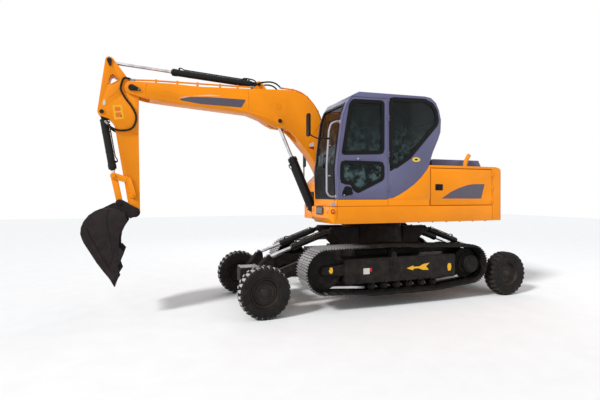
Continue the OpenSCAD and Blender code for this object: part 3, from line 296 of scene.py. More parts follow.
# The tread's front faces are painted paler, as painted light
TREAD = rubber("tyre_tread", (44, 42, 41), dust_and_reflection=0.15, rough=(0.65, 0.9), painted_light=0.85)
LINKS = bare_metal("track_links", (20, 19, 18), rust=0.12, rough=(0.5, 0.7), metallic=0.1, dust_and_reflection=0.08)
STEEL_TOP = painted("pale_steel", (150, 148, 150), dust_and_reflection=0.25, base=(70, 66, 62), rough=(0.35, 0.5), coat=0.05)
YELLOW = painted("yellow_film", (232, 176, 30), dust_and_reflection=0.12, base=(120, 90, 30), rough=(0.3, 0.45), coat=0.2)
PALE_YELLOW = painted("pale_yellow_film", (226, 190, 70), dust_and_reflection=0.08, base=(120, 90, 30), rough=(0.3, 0.45))
# White stickers and labels, and the painted highlight along the boom's stripe
WHITE_FILM_AND_HIGHLIGHT = painted("white_film_and_highlight", (205, 200, 196), dust_and_reflection=0.12, base=(120, 110, 100), rough=(0.3, 0.45))
RED = painted("red_film", (186, 34, 26), dust_and_reflection=0.10, base=(90, 30, 24), rough=(0.3, 0.45))
AMBER = painted("amber_lens", (226, 104, 16), dust_and_reflection=0.05, base=(120, 60, 20), rough=(0.1, 0.2), coat=0.6)
STRIPE = painted("stripe_film", (84, 80, 92), dust_and_reflection=0.06, base=(70, 64, 74), rough=(0.3, 0.45))
SEAM = painted("seam_shade", (150, 62, 8), dust_and_reflection=0.15, base=(70, 34, 16), rough=(0.5, 0.7), coat=0.0)
LENS = painted("lamp_lens", (70, 72, 76), dust_and_reflection=0.05, base=(50, 50, 52), rough=(0.08, 0.2), coat=0.6)
MIRROR = polished("mirror_glass")
LINER = moulded("cab_liner", (96, 96, 106), rough=(0.6, 0.8))
SLOTS = {
    "orange_paint": ORANGE, "violet_paint": VIOLET, "dark_frame": FRAME, "track_steel": TRACK,
    "bucket_paint": BUCKET, "ram_paint": RAM, "rod_chrome": CHROME, "tyre": TYRE, "rim_paint": RIM,
    "rail_steel": RAIL, "glass": GLASS, "seat_fabric": CLOTH, "dark_plastic": PLASTIC,
    "hose_rubber": HOSE, "engine_metal": ENGINE,
}
NODE_SLOT = {row["node"]: row["material_slot"] for row in frame["record"]["subparts"]}
BODY_OF = {node: body for body, nodes in frame["record"]["behaviour"]["bodies"].items() for node in nodes}

# ---- Frame pieces with rolled edges ----
# Node: width of its rolled edges, in metres
ROLLED = {
    "deck": 0.008, "counterweight": 0.030, "side_body": 0.010, "right_tank": 0.012, "hood": 0.012,
    "side_door_left": 0.006, "side_door_right": 0.006, "cab_frame": 0.022, "cab_door": 0.008,
    "boom": 0.006, "stick": 0.005, "guide_links": 0.004, "bucket_link": 0.004, "bucket": 0.004,
    "lower_frame": 0.006, "front_axle": 0.006, "rear_axle": 0.006, "controls": 0.006, "engine": 0.008,
}


def roll(thing, width):
    """Roll a piece's hard edges, in metres."""
    bevel = thing.modifiers.new("rolled", "BEVEL")
    bevel.width = width
    bevel.segments = 2
    bevel.limit_method = "ANGLE"
    bevel.angle_limit = radians(38)
    bevel.harden_normals = True


def rolled_copy(node, width):
    """A copy of a frame node with its hard edges rolled, standing for that node."""
    source = NODES[node]
    mesh = source.data.copy()
    piece = bpy.data.objects.new(node + "_skin", mesh)
    bpy.context.collection.objects.link(piece)
    work = bmesh.new()
    work.from_mesh(mesh)
    bmesh.ops.remove_doubles(work, verts=work.verts, dist=0.00002)
    bmesh.ops.dissolve_limit(work, angle_limit=radians(1.0), verts=work.verts, edges=work.edges)
    work.to_mesh(mesh)
    work.free()
    for face in mesh.polygons:
        face.use_smooth = True
    roll(piece, width)
    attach(piece, BODY_OF[node])
    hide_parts(node)
    return piece


for node, thing in NODES.items():
    material = SLOTS[NODE_SLOT[node]]
    if node in ROLLED:
        skin = rolled_copy(node, ROLLED[node])
        skin.data.materials.clear()
        skin.data.materials.append(material)
    else:
        for holder in thing.material_slots:
            holder.material = material

# ---- Shapes ----
def fillet(points, radius, closed=True, steps=4):
    """The line through the points, with each corner rounded."""
    points = [Vector(p) for p in points]
    last = len(points) - 1
    out = []
    for i, p in enumerate(points):
        if not closed and i in (0, last):
            out.append(p)
            continue
        back, on = points[i - 1] - p, points[(i + 1) % len(points)] - p
        half = back.angle(on) / 2
        reach = min(radius / tan(half), back.length * 0.45, on.length * 0.45)
        if reach < 0.5:
            out.append(p)
            continue
        u, v = back.normalized(), on.normalized()
        round_r = reach * tan(half)
        centre = p + (u + v).normalized() * (round_r / sin(half))
        start, end = p + u * reach, p + v * reach
        for k in range(steps + 1):
            out.append(centre + (start.lerp(end, k / steps) - centre).normalized() * round_r)
    return out


def angles(count, turn=0.0):
    """Even angles round a circle, the first one turned by a share of their spacing."""
    return [tau * (k + turn) / count for k in range(count)]


def rect(x0, y0, x1, y1, radius=0):
    """A rectangle's outline, with round corners if a radius is given."""
    corners = [(x0, y0), (x1, y0), (x1, y1), (x0, y1)]
    return fillet(corners, radius) if radius else corners


def grown(points, by):
    """A closed outline moved outwards all round."""
    area = sum(a.x * b.y - b.x * a.y for a, b in zip(points, points[1:] + points[:1]))
    out = []
    for i, p in enumerate(points):
        go = (points[(i + 1) % len(points)] - points[i - 1]).normalized()
        out.append(p + Vector((go.y, -go.x)) * (by if area > 0 else -by))
    return out


class Form:
    """Solid shapes gathered into one mesh, in millimetres from the swing axis.

    on() puts it on one side's face. From then on, Y is measured outwards from that face.
    """

    def __init__(self, side=1, face_y=0):
        self.work = bmesh.new()
        self.on(side, face_y)

    def on(self, side, face_y):
        self.side, self.face_y = side, face_y

    def out(self, p):
        return Vector((p[0], self.face_y + self.side * p[1], p[2]))

    def face(self, corners, kind):
        face = self.work.faces.new(corners)
        face.material_index = kind
        return face

    def cover(self, rings, kind, loop):
        """Faces between rings of points, with the first and last ring closed unless they meet in a loop."""
        rows = [[self.work.verts.new(plan(*p)) for p in ring] for ring in rings]
        if loop:
            rows.append(rows[0])
        for a, b in zip(rows, rows[1:]):
            for i in range(len(a)):
                j = (i + 1) % len(a)
                self.face((a[i], a[j], b[j], b[i]), kind)
        if not loop:
            self.face(rows[0], kind)
            self.face(rows[-1], kind)

    def skin(self, rings, kind=0, loop=False):
        self.cover([[self.out(p) for p in ring] for ring in rings], kind, loop)

    def prism(self, profile, y0, y1, kind=0):
        """An outline on the XZ plane, made solid from y0 to y1."""
        self.skin([[(p[0], y, p[1]) for p in profile] for y in (y0, y1)], kind)

    def sheet(self, profile, z0, z1, kind=0):
        """An outline on the XY plane, made solid from z0 to z1."""
        self.skin([[(p[0], p[1], z) for p in profile] for z in (z0, z1)], kind)

    def front(self, profile, x0, x1, kind=0):
        """An outline on the YZ plane, made solid from x0 to x1."""
        self.skin([[(x, p[0], p[1]) for p in profile] for x in (x0, x1)], kind)

    def box(self, low, high, kind=0):
        self.prism(rect(low[0], low[2], high[0], high[2]), low[1], high[1], kind)

    def ring(self, outline, inner, outer, y0, y1, kind=0):
        """A flat frame that follows an outline on the XZ plane."""
        a, b = grown(outline, inner), grown(outline, outer)
        edges = ((a, y0), (b, y0), (b, y1), (a, y1))
        self.skin([[(p.x, y, p.y) for p in edge] for edge, y in edges], kind, loop=True)

    def turned(self, at, along, profile, sides=24, kind=0, loop=False):
        """A profile of (radius, distance) turned round an axis."""
        go = Vector((along[0], self.side * along[1], along[2])).normalized()
        u = go.orthogonal().normalized()
        v = go.cross(u)
        self.cover([[self.out(at) + go * h + (u * cos(a) + v * sin(a)) * r for a in angles(sides)]
                    for r, h in profile], kind, loop)

    def tube(self, points, r, sides=12, kind=0):
        points = [self.out(p) for p in points]
        u = (points[1] - points[0]).orthogonal().normalized()
        rings = []
        for i, p in enumerate(points):
            go = (points[min(i + 1, len(points) - 1)] - points[max(i - 1, 0)]).normalized()
            u = (u - go * u.dot(go)).normalized()
            v = go.cross(u)
            rings.append([p + (u * cos(a) + v * sin(a)) * r for a in angles(sides)])
        self.cover(rings, kind, loop=False)

    def bolt(self, at, along, r=11, high=9, kind=0):
        self.turned(at, along, [(r * 1.35, 0), (r * 1.35, 2), (r, 2), (r, high - 1), (r * 0.86, high)], 6, kind)

    def bolt_ring(self, at, along, spread, count, r, high, turn=0.0):
        """Bolts evenly round an axis, which is along Y or Z."""
        for a in angles(count, turn):
            u, v = spread * cos(a), spread * sin(a)
            spot = (at[0] + u, at[1], at[2] + v) if along[1] else (at[0] + u, at[1] + v, at[2])
            self.bolt(spot, along, r, high)

    def piece(self, name, body, slot, *materials, bevel=0.0, smooth=35.0, replaces=()):
        """The finished object. It rides on the body given, if one is, and bevel is in millimetres."""
        bmesh.ops.recalc_face_normals(self.work, faces=self.work.faces)
        mesh = bpy.data.meshes.new(name)
        self.work.to_mesh(mesh)
        self.work.free()
        for material in materials:
            mesh.materials.append(material)
        mesh.shade_smooth()
        mesh.set_sharp_from_angle(angle=radians(smooth))
        thing = bpy.data.objects.new(name, mesh)
        bpy.context.collection.objects.link(thing)
        if bevel:
            roll(thing, bevel / 1000)
        if body:
            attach(thing, body)
        if replaces:
            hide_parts(*replaces)
        return thing


def sides(name):
    """Left and right: the sign of Y and the word in names."""
    return ((1, name.format("left")), (-1, name.format("right")))


# ---- Sizes that follow the frame or repeat the source, in millimetres from the swing axis ----
def pin(joint):
    """A joint's pin, as (x, z)."""
    x, _, z = JOINT_AT[joint]
    return round(1000 * (x - SWING_X), 1), round(1000 * z, 1)


OUT = (0, 1, 0)
HALF_W = 1000
TRACK_MID = 790
SHOE_HALF = 210
WHEEL_Y = 870
FRONT_AXLE_X, AXLE_Z = pin("roll_front_left")
REAR_AXLE_X = pin("roll_rear_left")[0]
ARM_PIVOT_X, ARM_PIVOT_Z = pin("front_arm_lift")
DECK_LOW = 1330
SIDE_FRAME_Y = 910
TAIL_X = 1000 * (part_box("counterweight")[0][0] - SWING_X) + 6
IDLER = (1280, 620)
SPROCKET = (-1380, 600)
CARRIER = (105, 900)
# Wheels that the track's band runs over: x, z, radius
TRACK_CIRCLES = ((*IDLER, 355), (*SPROCKET, 325), (500, 310, 100), (-700, 310, 100), (*CARRIER, 92))
BOOM_MID = round(1000 * JOINT_AT["boom_lift"][1], 1)
BOOM_HALF = 150
STICK_HALF = 120
BUCKET_HALF = 380
BOOM_FOOT = pin("boom_lift")
STICK_PIN = pin("stick_turn")
BUCKET_PIN = pin("bucket_curl")
GUIDE_PIN = pin("guide_turn")
LINK_PIN = pin("curl_link_turn")
ARM_RAM_FOOT = pin("arm_ram_tilt")
BUCKET_RAM_FOOT = pin("bucket_ram_tilt")
BOOM_RAM_EYE = (1713, 2995)
ARM_RAM_EYE = (4302, 3730)

# ---- Tyres and rims ----
TYRE_SIDES = 72
RIM_SIDES = 64
LUGS = 27
LUG_CHAMFER = 0.012      # radians
STUDS = 8
# Outer half of the tyre's section: radius and distance from the middle plane
TYRE_HALF = ((209, 84), (216, 93), (232, 101), (240, 105), (246, 102), (268, 106), (292, 109), (298, 107.5),
             (304, 109.5), (315, 109), (334, 105), (351, 99), (360, 90), (363, 45))
# Stations across one lug: distance from the middle, top radius, foot radius, then lead and half length in pitches
LUG_ROWS = ((6, 379.5, 355, 0.0, 0.22), (44, 379, 355, 0.04, 0.25), (82, 375, 353, 0.10, 0.30),
            (102, 365, 345, 0.14, 0.31), (107, 345, 333, 0.15, 0.26))
RIM_BARREL = ((208, -88), (208, 86), (204, 91), (199, 91), (195, 84), (188, 62), (184, 20), (184, -40),
              (192, -70), (199, -88))
RIM_DISH = ((60, 38), (100, 36), (110, 30), (118, 28), (126, 34), (138, 34), (146, 27), (160, 25), (168, 30),
            (189, 22))
RIM_PLATE = 0.010        # metres
HUB = ((0, 76), (30, 76), (36, 72), (38, 56), (58, 52), (66, 44), (70, 30), (70, -18), (0, -18))


def tyre(corner, x, side):
    form = Form(side, side * WHEEL_Y)
    inner_half = [(r, -h) for r, h in reversed(TYRE_HALF)]
    form.turned((x, 0, AXLE_Z), OUT, list(TYRE_HALF) + inner_half, TYRE_SIDES, loop=True)
    pitch = tau / LUGS
    for i in range(LUGS):
        for row in (-1, 1):
            mid = (i + (0.5 if row * side > 0 else 0)) * pitch
            rings = []
            for across, top, foot, lead, length in LUG_ROWS:
                a0, a1 = mid + (lead - length) * pitch, mid + (lead + length) * pitch
                section = ((foot, a0), (top, a0 + LUG_CHAMFER), (top, a1 - LUG_CHAMFER), (foot, a1))
                rings.append([(x + r * cos(a), row * across, AXLE_Z + r * sin(a)) for r, a in section])
            form.skin(rings, 1)
    form.piece("tyre_tread_" + corner, "wheel_" + corner, "tyre", TYRE, TREAD, smooth=32,
               replaces=["tyre_" + corner])


def rim(corner, x, side):
    form = Form(side, side * WHEEL_Y)
    form.turned((x, 0, AXLE_Z), OUT, RIM_BARREL, TYRE_SIDES, loop=True)
    rows = [[form.work.verts.new(plan(*form.out((x + r * cos(a), h, AXLE_Z + r * sin(a)))))
             for a in angles(RIM_SIDES)] for r, h in RIM_DISH]
    plate = []
    for a, b in zip(rows, rows[1:]):
        for k in range(RIM_SIDES):
            j = (k + 1) % RIM_SIDES
            plate.append(form.face((a[k], a[j], b[j], b[k]), 0))
    bmesh.ops.recalc_face_normals(form.work, faces=plate)
    bmesh.ops.solidify(form.work, geom=plate, thickness=RIM_PLATE)
    form.turned((x, 0, AXLE_Z), OUT, HUB, 32)
    for a in angles(STUDS, 0.5):
        foot = (x + 84 * cos(a), 36, AXLE_Z + 84 * sin(a))
        form.bolt(foot, OUT, 10, 12)
        form.turned(foot, OUT, [(5, 0), (5, 19), (4, 21)], 8)
    form.piece("rim_detail_" + corner, "wheel_" + corner, "rim_paint", RIM, smooth=32, replaces=["rim_" + corner])


for end, axle_x in (("front", FRONT_AXLE_X), ("rear", REAR_AXLE_X)):
    for side, corner in sides(end + "_{}"):
        tyre(corner, axle_x, side)
        rim(corner, axle_x, side)


# ---- Tracks ----
def hull_path(circles, count):
    """Even points round a band over circles, with the way along and outwards at each, and their pitch."""
    cloud = sorted((x + r * cos(a), z + r * sin(a)) for x, z, r in circles for a in angles(720))
    edge = []
    for run in (cloud, cloud[::-1]):
        part = []
        for p in run:
            while len(part) > 1 and ((part[-1][0] - part[-2][0]) * (p[1] - part[-2][1])
                                     - (part[-1][1] - part[-2][1]) * (p[0] - part[-2][0])) <= 0:
                part.pop()
            part.append(p)
        edge += part[:-1]
    edge = [Vector(p) for p in edge]
    lengths = [(b - a).length for a, b in zip(edge, edge[1:] + edge[:1])]
    step = sum(lengths) / count
    out = []
    i, gone = 0, 0.0
    for k in range(count):
        want = k * step
        while gone + lengths[i] < want:
            gone += lengths[i]
            i += 1
        out.append(edge[i].lerp(edge[(i + 1) % len(edge)], (want - gone) / lengths[i]))
    rows = []
    for k in range(count):
        go = (out[(k + 1) % count] - out[k - 1]).normalized()
        rows.append((out[k], go, Vector((go.y, -go.x))))
    return rows, step


SHOES = 55
PATH, PITCH = hull_path(TRACK_CIRCLES, SHOES)
RIBS = (-0.32, 0.0, 0.32)
# A link's outline: place along in pitches, height from the shoes' tips
LINK = ((-0.55, -50), (-0.48, -61), (0.30, -61), (0.44, -52), (0.44, -37), (-0.55, -37))


def shoe_profile():
    """A shoe's outline with its ribs, as a link's is given."""
    line = [(-0.485, -36), (0.485, -36), (0.485, -27)]
    for rib in reversed(RIBS):
        line += [(rib + 0.058, -25), (rib + 0.034, -1), (rib - 0.034, -1), (rib - 0.058, -25)]
    return line + [(-0.485, -30)]


def along_path(spot, s, n):
    """The point s pitches along and n outwards from one of the path's points."""
    at, go, out = spot
    p = at + go * (s * PITCH) + out * n
    return p.x, p.y


for side, name in sides("track_{}"):
    chain = Form(side, side * TRACK_MID)
    for spot in PATH:
        out = spot[2]
        chain.prism([along_path(spot, *p) for p in shoe_profile()], -SHOE_HALF, SHOE_HALF)
        for y in (-66, 46):
            chain.prism([along_path(spot, *p) for p in LINK], y, y + 20, 1)
        x, z = along_path(spot, -0.5, -50)
        chain.turned((x, 0, z), OUT, [(11, -76), (11, 76)], 8, 1)
        for y in (-56, 56):
            for s in (-0.16, 0.16):
                x, z = along_path(spot, s, -28)
                chain.bolt((x, y, z), (out.x, 0, out.y), 8, 8, 1)
    chain.piece(name + "_chain", "undercarriage", "track_steel", TRACK, LINKS, smooth=30, replaces=[name])

TEETH = 23
# One tooth: place in pitches and radius
TOOTH = ((-0.5, 232), (-0.30, 236), (-0.16, 260), (0.16, 260), (0.30, 236))
IDLER_HALF = ((0, 62), (72, 62), (80, 50), (84, 36), (232, 30), (248, 42), (291, 42), (291, 22), (300, 18))
FINAL_DRIVE = ((0, 20), (205, 20), (205, 30), (176, 36), (172, 62), (150, 70), (150, 168), (140, 182),
               (112, 188), (108, 195), (0, 195))
BOTTOM_ROLLERS = [(480 - i * 232, 336, 63.5, 110) for i in range(6)]
CARRIER_ROLLER = (*CARRIER, 29, 70)


def mirrored(half):
    """A turned profile from its outer half."""
    return [(r, -h) for r, h in half] + list(reversed(half))


gear = Form()
for side in (1, -1):
    gear.on(side, side * TRACK_MID)
    gear.turned((IDLER[0], 0, IDLER[1]), OUT, mirrored(IDLER_HALF), 56)
    x, z = SPROCKET
    corners = [(tau * (k + da) / TEETH, r) for k in range(TEETH) for da, r in TOOTH]
    gear.prism([(x + r * cos(a), z + r * sin(a)) for a, r in corners], -20, 20)
    gear.turned((x, 0, z), OUT, FINAL_DRIVE, 48)
    gear.bolt_ring((x, 184, z), OUT, 126, 12, 8, 9)
    gear.bolt_ring((x, 32, z), OUT, 188, 12, 10, 10)
    for x, z, r, wide in (*BOTTOM_ROLLERS, CARRIER_ROLLER):
        half = ((0, wide), (r * 0.62, wide), (r * 0.66, wide - 34), (r, wide - 40), (r, 36), (r * 0.8, 34))
        gear.turned((x, 0, z), OUT, mirrored(half), 28)
gear.piece("track_running_gear", "undercarriage", "track_steel", LINKS, smooth=32, replaces=["track_wheels"])


def guard_outline():
    """The inner guard: the band's inside below the frame's edge, closed along a straight top."""
    edge = [at - out * 76 for at, go, out in PATH]
    low = [p for p in edge if p.y < 425 or p.x < -1040]
    start = max(range(len(low)), key=lambda i: (low[i] - low[i - 1]).length)
    low = low[start:] + low[:start]
    if low[0].x < low[-1].x:
        low.reverse()
    return low + [Vector((low[-1].x, 470)), Vector((low[0].x, 470))]


guard = Form()
for side in (1, -1):
    guard.on(side, side * 592)
    guard.prism(guard_outline(), 0, 8)
guard.piece("track_inner_guards", "undercarriage", "dark_frame", FRAME, bevel=1.5)

# ---- Side frames, stickers and the carrier stand ----
STICKER_UP = 1.2
STAND = ((45, 545), (165, 545), (178, 610), (142, 868), (68, 868), (32, 610))
STAND_RIB = ((78, 610), (132, 610), (118, 790), (92, 790))
IDLER_COVER = ((1145, 560), (1330, 575), (1330, 665), (1145, 680))
COVER_Y = 878 - SIDE_FRAME_Y
ARROW = ((-135, 588), (-262, 628), (-262, 606), (-372, 606), (-452, 640), (-575, 655), (-505, 600), (-560, 540),
         (-440, 545), (-362, 576), (-262, 576), (-262, 548))
REAR_SHIELD = ((-945, 500), (-1000, 505), (-1012, 565), (-1000, 625), (-945, 625), (-930, 570))
FRONT_SHIELD = ((1166, 583), (1212, 583), (1222, 630), (1212, 672), (1166, 672), (1156, 630))
for side, name in sides("side_frame_{}"):
    form = Form(side, side * SIDE_FRAME_Y)
    form.prism(fillet(STAND, 16), 0, 16)
    form.prism(fillet(STAND_RIB, 10), 16, 30)
    for x, z in ((60, 575), (150, 575), (105, 575), (105, 830)):
        form.bolt((x, 16, z), OUT, 11, 10)
    for z in (672, 590):
        form.prism(rect(930, z - 9, 1180, z + 9, 8), COVER_Y - 8, COVER_Y + 10)
    form.prism(fillet(IDLER_COVER, 20), COVER_Y, COVER_Y + 14)
    for x, z in ((1215, 590), (1215, 650), (1305, 595), (1305, 645)):
        form.bolt((x, COVER_Y + 14, z), OUT, 9, 9)
    for x in (-1050, 920):
        for z in (440, 590, 740):
            form.bolt((x, 0, z), OUT, 11, 9)
    for x in (-860, -620, -380, -140, 240, 480, 720):
        form.prism(fillet([(x - 34, 398), (x + 34, 398), (x + 20, 440), (x - 20, 440)], 6), 0, 12)
    form.box((-1080, 0, 768), (950, 6, 782))
    form.piece(name + "_fittings", "undercarriage", "dark_frame", FRAME, bevel=2)
    mark = Form(side, side * SIDE_FRAME_Y)
    for outline, y, kind in ((ARROW, 0, 0), (fillet(REAR_SHIELD, 14), 0, 0),
                             (fillet(FRONT_SHIELD, 14), COVER_Y + 14, 0), (rect(540, 540, 648, 632, 4), 0, 1),
                             (rect(500, 578, 540, 632), 0, 2)):
        mark.prism(outline, y, y + STICKER_UP, kind)
    mark.piece(name + "_stickers", "undercarriage", "dark_frame", YELLOW, WHITE_FILM_AND_HIGHLIGHT, RED)

# ---- Wheel arms ----
ARM_FACE = 464


def wheel_arm(sign, axle):
    """What the two arms share: bolts, a cap on the pivot, and the ribs of the bent side plates.

    sign is the way the arm reaches, and axle how far.
    """
    form = Form()
    for side in (1, -1):
        form.on(side, side * ARM_FACE)
        for x, z in ((1100, 611), (1500, 640), (axle - 190, 484)):
            form.bolt((sign * x, 1, z), OUT, 11, 9)
        form.turned((sign * ARM_PIVOT_X, 4, ARM_PIVOT_Z), OUT, [(44, 0), (44, 10), (30, 14), (0, 14)], 28)
        for rib in (((1040, 632), (1480, 664), (1480, 630), (1040, 598)),
                    ((1530, 640), (axle - 110, 462), (axle - 110, 428), (1530, 606))):
            form.prism([(sign * x, z) for x, z in rib], 0, 6)
    form.on(1, 0)
    return form


arm = wheel_arm(1, FRONT_AXLE_X)
for side in (1, -1):
    arm.on(side, 0)
    arm.turned((FRONT_AXLE_X, 770, AXLE_Z + 100), UP, [(50, 0), (50, 9), (30, 12), (0, 12)], 24)
    arm.bolt_ring((FRONT_AXLE_X, 770, AXLE_Z + 108), UP, 36, 4, 7, 7, 0.5)
    arm.turned((FRONT_AXLE_X, 139, AXLE_Z), OUT, [(70, 0), (108, 3), (108, 20), (76, 26), (70, 60)], 32)
    arm.turned((FRONT_AXLE_X, 532, AXLE_Z), OUT, [(69, 0), (92, 4), (92, 20), (69, 20)], 32)
    for x in (-96, 146):
        arm.bolt((FRONT_AXLE_X + x, 104, 621), UP, 13, 11, 1)
arm.box((FRONT_AXLE_X - 122, -132, 612), (FRONT_AXLE_X + 172, 132, 621), 1)
arm.box((FRONT_AXLE_X + 178, -112, AXLE_Z + 26), (FRONT_AXLE_X + 187, 112, 592))
arm.piece("front_arm_fittings", "front_arm", "dark_frame", FRAME, STEEL_TOP, bevel=2)

arm = wheel_arm(-1, -REAR_AXLE_X)
DIFFERENTIAL = ((0, 40), (120, 110), (150, 165), (120, 176), (40, 186), (0, 190))
arm.turned((REAR_AXLE_X, 0, AXLE_Z), (-1, 0, 0), DIFFERENTIAL, 32)
for side in (1, -1):
    arm.on(side, side * 690)
    arm.turned((REAR_AXLE_X, 0, AXLE_Z), OUT, [(85, 0), (118, 4), (118, 20), (60, 24), (0, 24)], 32)
    arm.bolt_ring((REAR_AXLE_X, 20, AXLE_Z), OUT, 104, 8, 8, 8)
arm.piece("rear_arm_fittings", "rear_arm", "dark_frame", FRAME, STEEL_TOP, bevel=2)

# ---- Rams: glands, clamps, ports and pipes ----
RAM_ROWS = (
    # barrel's node, joint at its foot, rod's eye, middle, barrel's radius, its start and end, side of its ports
    ("boom_ram_barrel", "boom_ram_tilt", BOOM_RAM_EYE, BOOM_MID, 75, 120, 1094, -1),
    ("arm_ram_barrel", "arm_ram_tilt", ARM_RAM_EYE, BOOM_MID, 52, 110, 1366, 1),
    ("bucket_ram_barrel", "bucket_ram_tilt", LINK_PIN, BOOM_MID, 54, 95, 830, -1),
    ("front_lift_barrels", "front_ram_tilt", (2000, 790), 300, 50, 105, 750, 1),
    ("front_lift_barrels", "front_ram_tilt", (2000, 790), -300, 50, 105, 750, 1),
    ("rear_lift_barrels", "rear_ram_tilt", (-1980, 790), 300, 50, 105, 750, -1),
    ("rear_lift_barrels", "rear_ram_tilt", (-1980, 790), -300, 50, 105, 750, -1),
)
for number, (node, joint, eye, y, r, start, end, ports) in enumerate(RAM_ROWS):
    foot = pin(joint)
    a, b = Vector((foot[0], y, foot[1])), Vector((eye[0], y, eye[1]))
    go = (b - a).normalized()
    out = Vector((-go.z, 0, go.x)) * ports
    form = Form()
    gland = [(r - 2, 0), (r + 3, 4), (r + 3, 16), (r * 0.72, 20), (r * 0.62, 30), (r * 0.62, 34), (r * 0.5, 36)]
    form.turned(a + go * (end - 10), go, gland, 36)
    form.turned(a + go * (start + 6), go, [(r - 1, 0), (r + 3.5, 2), (r + 3.5, 8), (r - 1, 10)], 36)
    for far in (start + 46, end - 96):
        port = a + go * far + out * (r - 4)
        form.turned(port, out, [(17, 0), (17, 14), (13, 16), (13, 26), (9, 28)], 16)
    pipe = [a + go * far + out * (r + up) for far, up in ((end - 96, 18), (end - 96, 30), (end - 130, 30),
                                                         (end - 170, 11), (start + 96, 11), (start + 76, 18))]
    form.tube(fillet(pipe, 24, closed=False), 8, 10)
    for far in (start + 180, end - 260):
        clamp = [(r + 0.5, 0), (r + 3, 0), (r + 3, 14), (r + 0.5, 14)]
        form.turned(a + go * far, go, clamp, 36, loop=True)
    form.piece(f"{node}_fittings_{number}", BODY_OF[node], "ram_paint", RAM, smooth=32)

# ---- House: seams, doors, lamps ----
# Seams as rectangles on the side: x0, z0, x1, z1
SEAMS = ((1, ((-1800, 1592, 1180, 1599), (264, 1600, 270, 1692), (1134, 1400, 1140, 1692),
              (-1801, 1345, -1795, 1592))),
         (-1, ((-1800, 1592, 894, 1599), (-1801, 1345, -1795, 1592))))
seams = Form()
for side, bars in SEAMS:
    seams.on(side, side * HALF_W)
    for bar in bars:
        seams.prism(rect(*bar), -0.5, 0.6)
seams.piece("deck_seams", "house", "orange_paint", SEAM)

SWOOSH = ((-741, 1709), (-925, 1816), (-1095, 1884), (-1290, 1938), (-1400, 1950), (-1632, 1953), (-1560, 1706))
for side, name in sides("engine_door_{}"):
    latch = Form(side, side * HALF_W)
    latch.prism(rect(-765, 1842, -618, 1944, 12), 0, 4)
    latch.prism(rect(-752, 1852, -668, 1934, 8), 4, 9)
    latch.turned((-640, 4, 1893), OUT, [(15, 0), (15, 6), (10, 8), (0, 8)], 20)
    latch.piece(name + "_latch", name, "dark_plastic", BLACK, bevel=1.5)
    stripe = Form(side, side * HALF_W)
    stripe.prism(SWOOSH, 0, 1)
    stripe.piece(name + "_stripe", name, "violet_paint", STRIPE)
    edge = Form(side, side * HALF_W)
    edge.ring(rect(-1795, 1598, -528, 2202, 14), -4, 2.2, -3, 0.6)
    edge.piece(name + "_seam", "house", "orange_paint", SEAM)

louvres = Form(-1, -HALF_W)
louvres.prism(rect(-1560, 1990, -760, 2150, 16), 0, 3, 1)
for k in range(9):
    z = 2006 + k * 16
    louvres.prism(rect(-1545, z - 5, -775, z + 5), 3, 9)
louvres.piece("engine_door_right_louvres", "engine_door_right", "orange_paint", ORANGE, BLACK, bevel=1.2)

BACK = (-1, 0, 0)
AHEAD = (1, 0, 0)
tail = Form()
tail.front(rect(-330, 1560, 330, 1700, 18), TAIL_X - 8, TAIL_X + 2)
for y in (-280, 280):
    tail.turned((TAIL_X - 8, y, 1630), BACK, [(13, 0), (13, 4), (8, 7), (0, 7)], 20, 1)
for y in (-700, 700):
    tail.front(rect(y - 110, 1990, y + 110, 2060, 20), TAIL_X - 9, TAIL_X + 6, 1)
    tail.turned((-1900, y * 0.8, 2252), UP, [(46, -6), (46, 4), (30, 8), (0, 8)], 28, 1)
tail.piece("counterweight_fittings", "house", "orange_paint", ORANGE, BLACK, bevel=2)
lens = Form()
for y in (-700, 700):
    for mid, kind in ((y - 54, 0), (y + 54, 1)):
        lens.front(rect(mid - 46, 2000, mid + 46, 2050, 10), TAIL_X - 15, TAIL_X - 9, kind)
lens.piece("tail_lamps", "house", "glass", RED, AMBER, bevel=2)

HOOD_HINGE = ((-1742, 2270), (-1724, 2300), (-1718, 2300), (-1730, 2256), (-1742, 2256))
hood = Form()
for z in (2290, 2326):
    for y in (-800, 800):
        hood.box((-1670, y - 2, z), (-760, y + 2, z + 5))
for k in range(16):
    x = -1500 + k * 42
    hood.box((x, -420, 2368), (x + 18, 420, 2374), 1)
hood.sheet(rect(-1520, -440, -840, 440, 30), 2366, 2371, 1)
for y in (-450, 450):
    hood.prism(fillet(HOOD_HINGE, 2), y - 50, y + 50, 1)
hood.piece("hood_fittings", "engine_hood", "violet_paint", VIOLET, BLACK, bevel=1)

HORN_XY = (-1322, 880)
HORN = [(HORN_XY[0] - 85 * k * k / 81, HORN_XY[1], 2240 + 70 * k / 3) for k in range(10)]
horn = Form()
horn.tube(HORN, 35, 24)
horn.turned((*HORN_XY, 2250), UP, [(66, -3), (66, 3), (50, 6), (36, 9)], 32)
horn.piece("exhaust_horn", "house", "orange_paint", ORANGE, smooth=50)
mouth = Form()
lip = [(35.5, -3), (35.5, 1.5), (28, 1.5), (28, -2), (0, -2)]
mouth.turned(HORN[-1], Vector(HORN[-1]) - Vector(HORN[-2]), lip, 28)
mouth.piece("exhaust_mouth", "house", "engine_metal", BLACK)

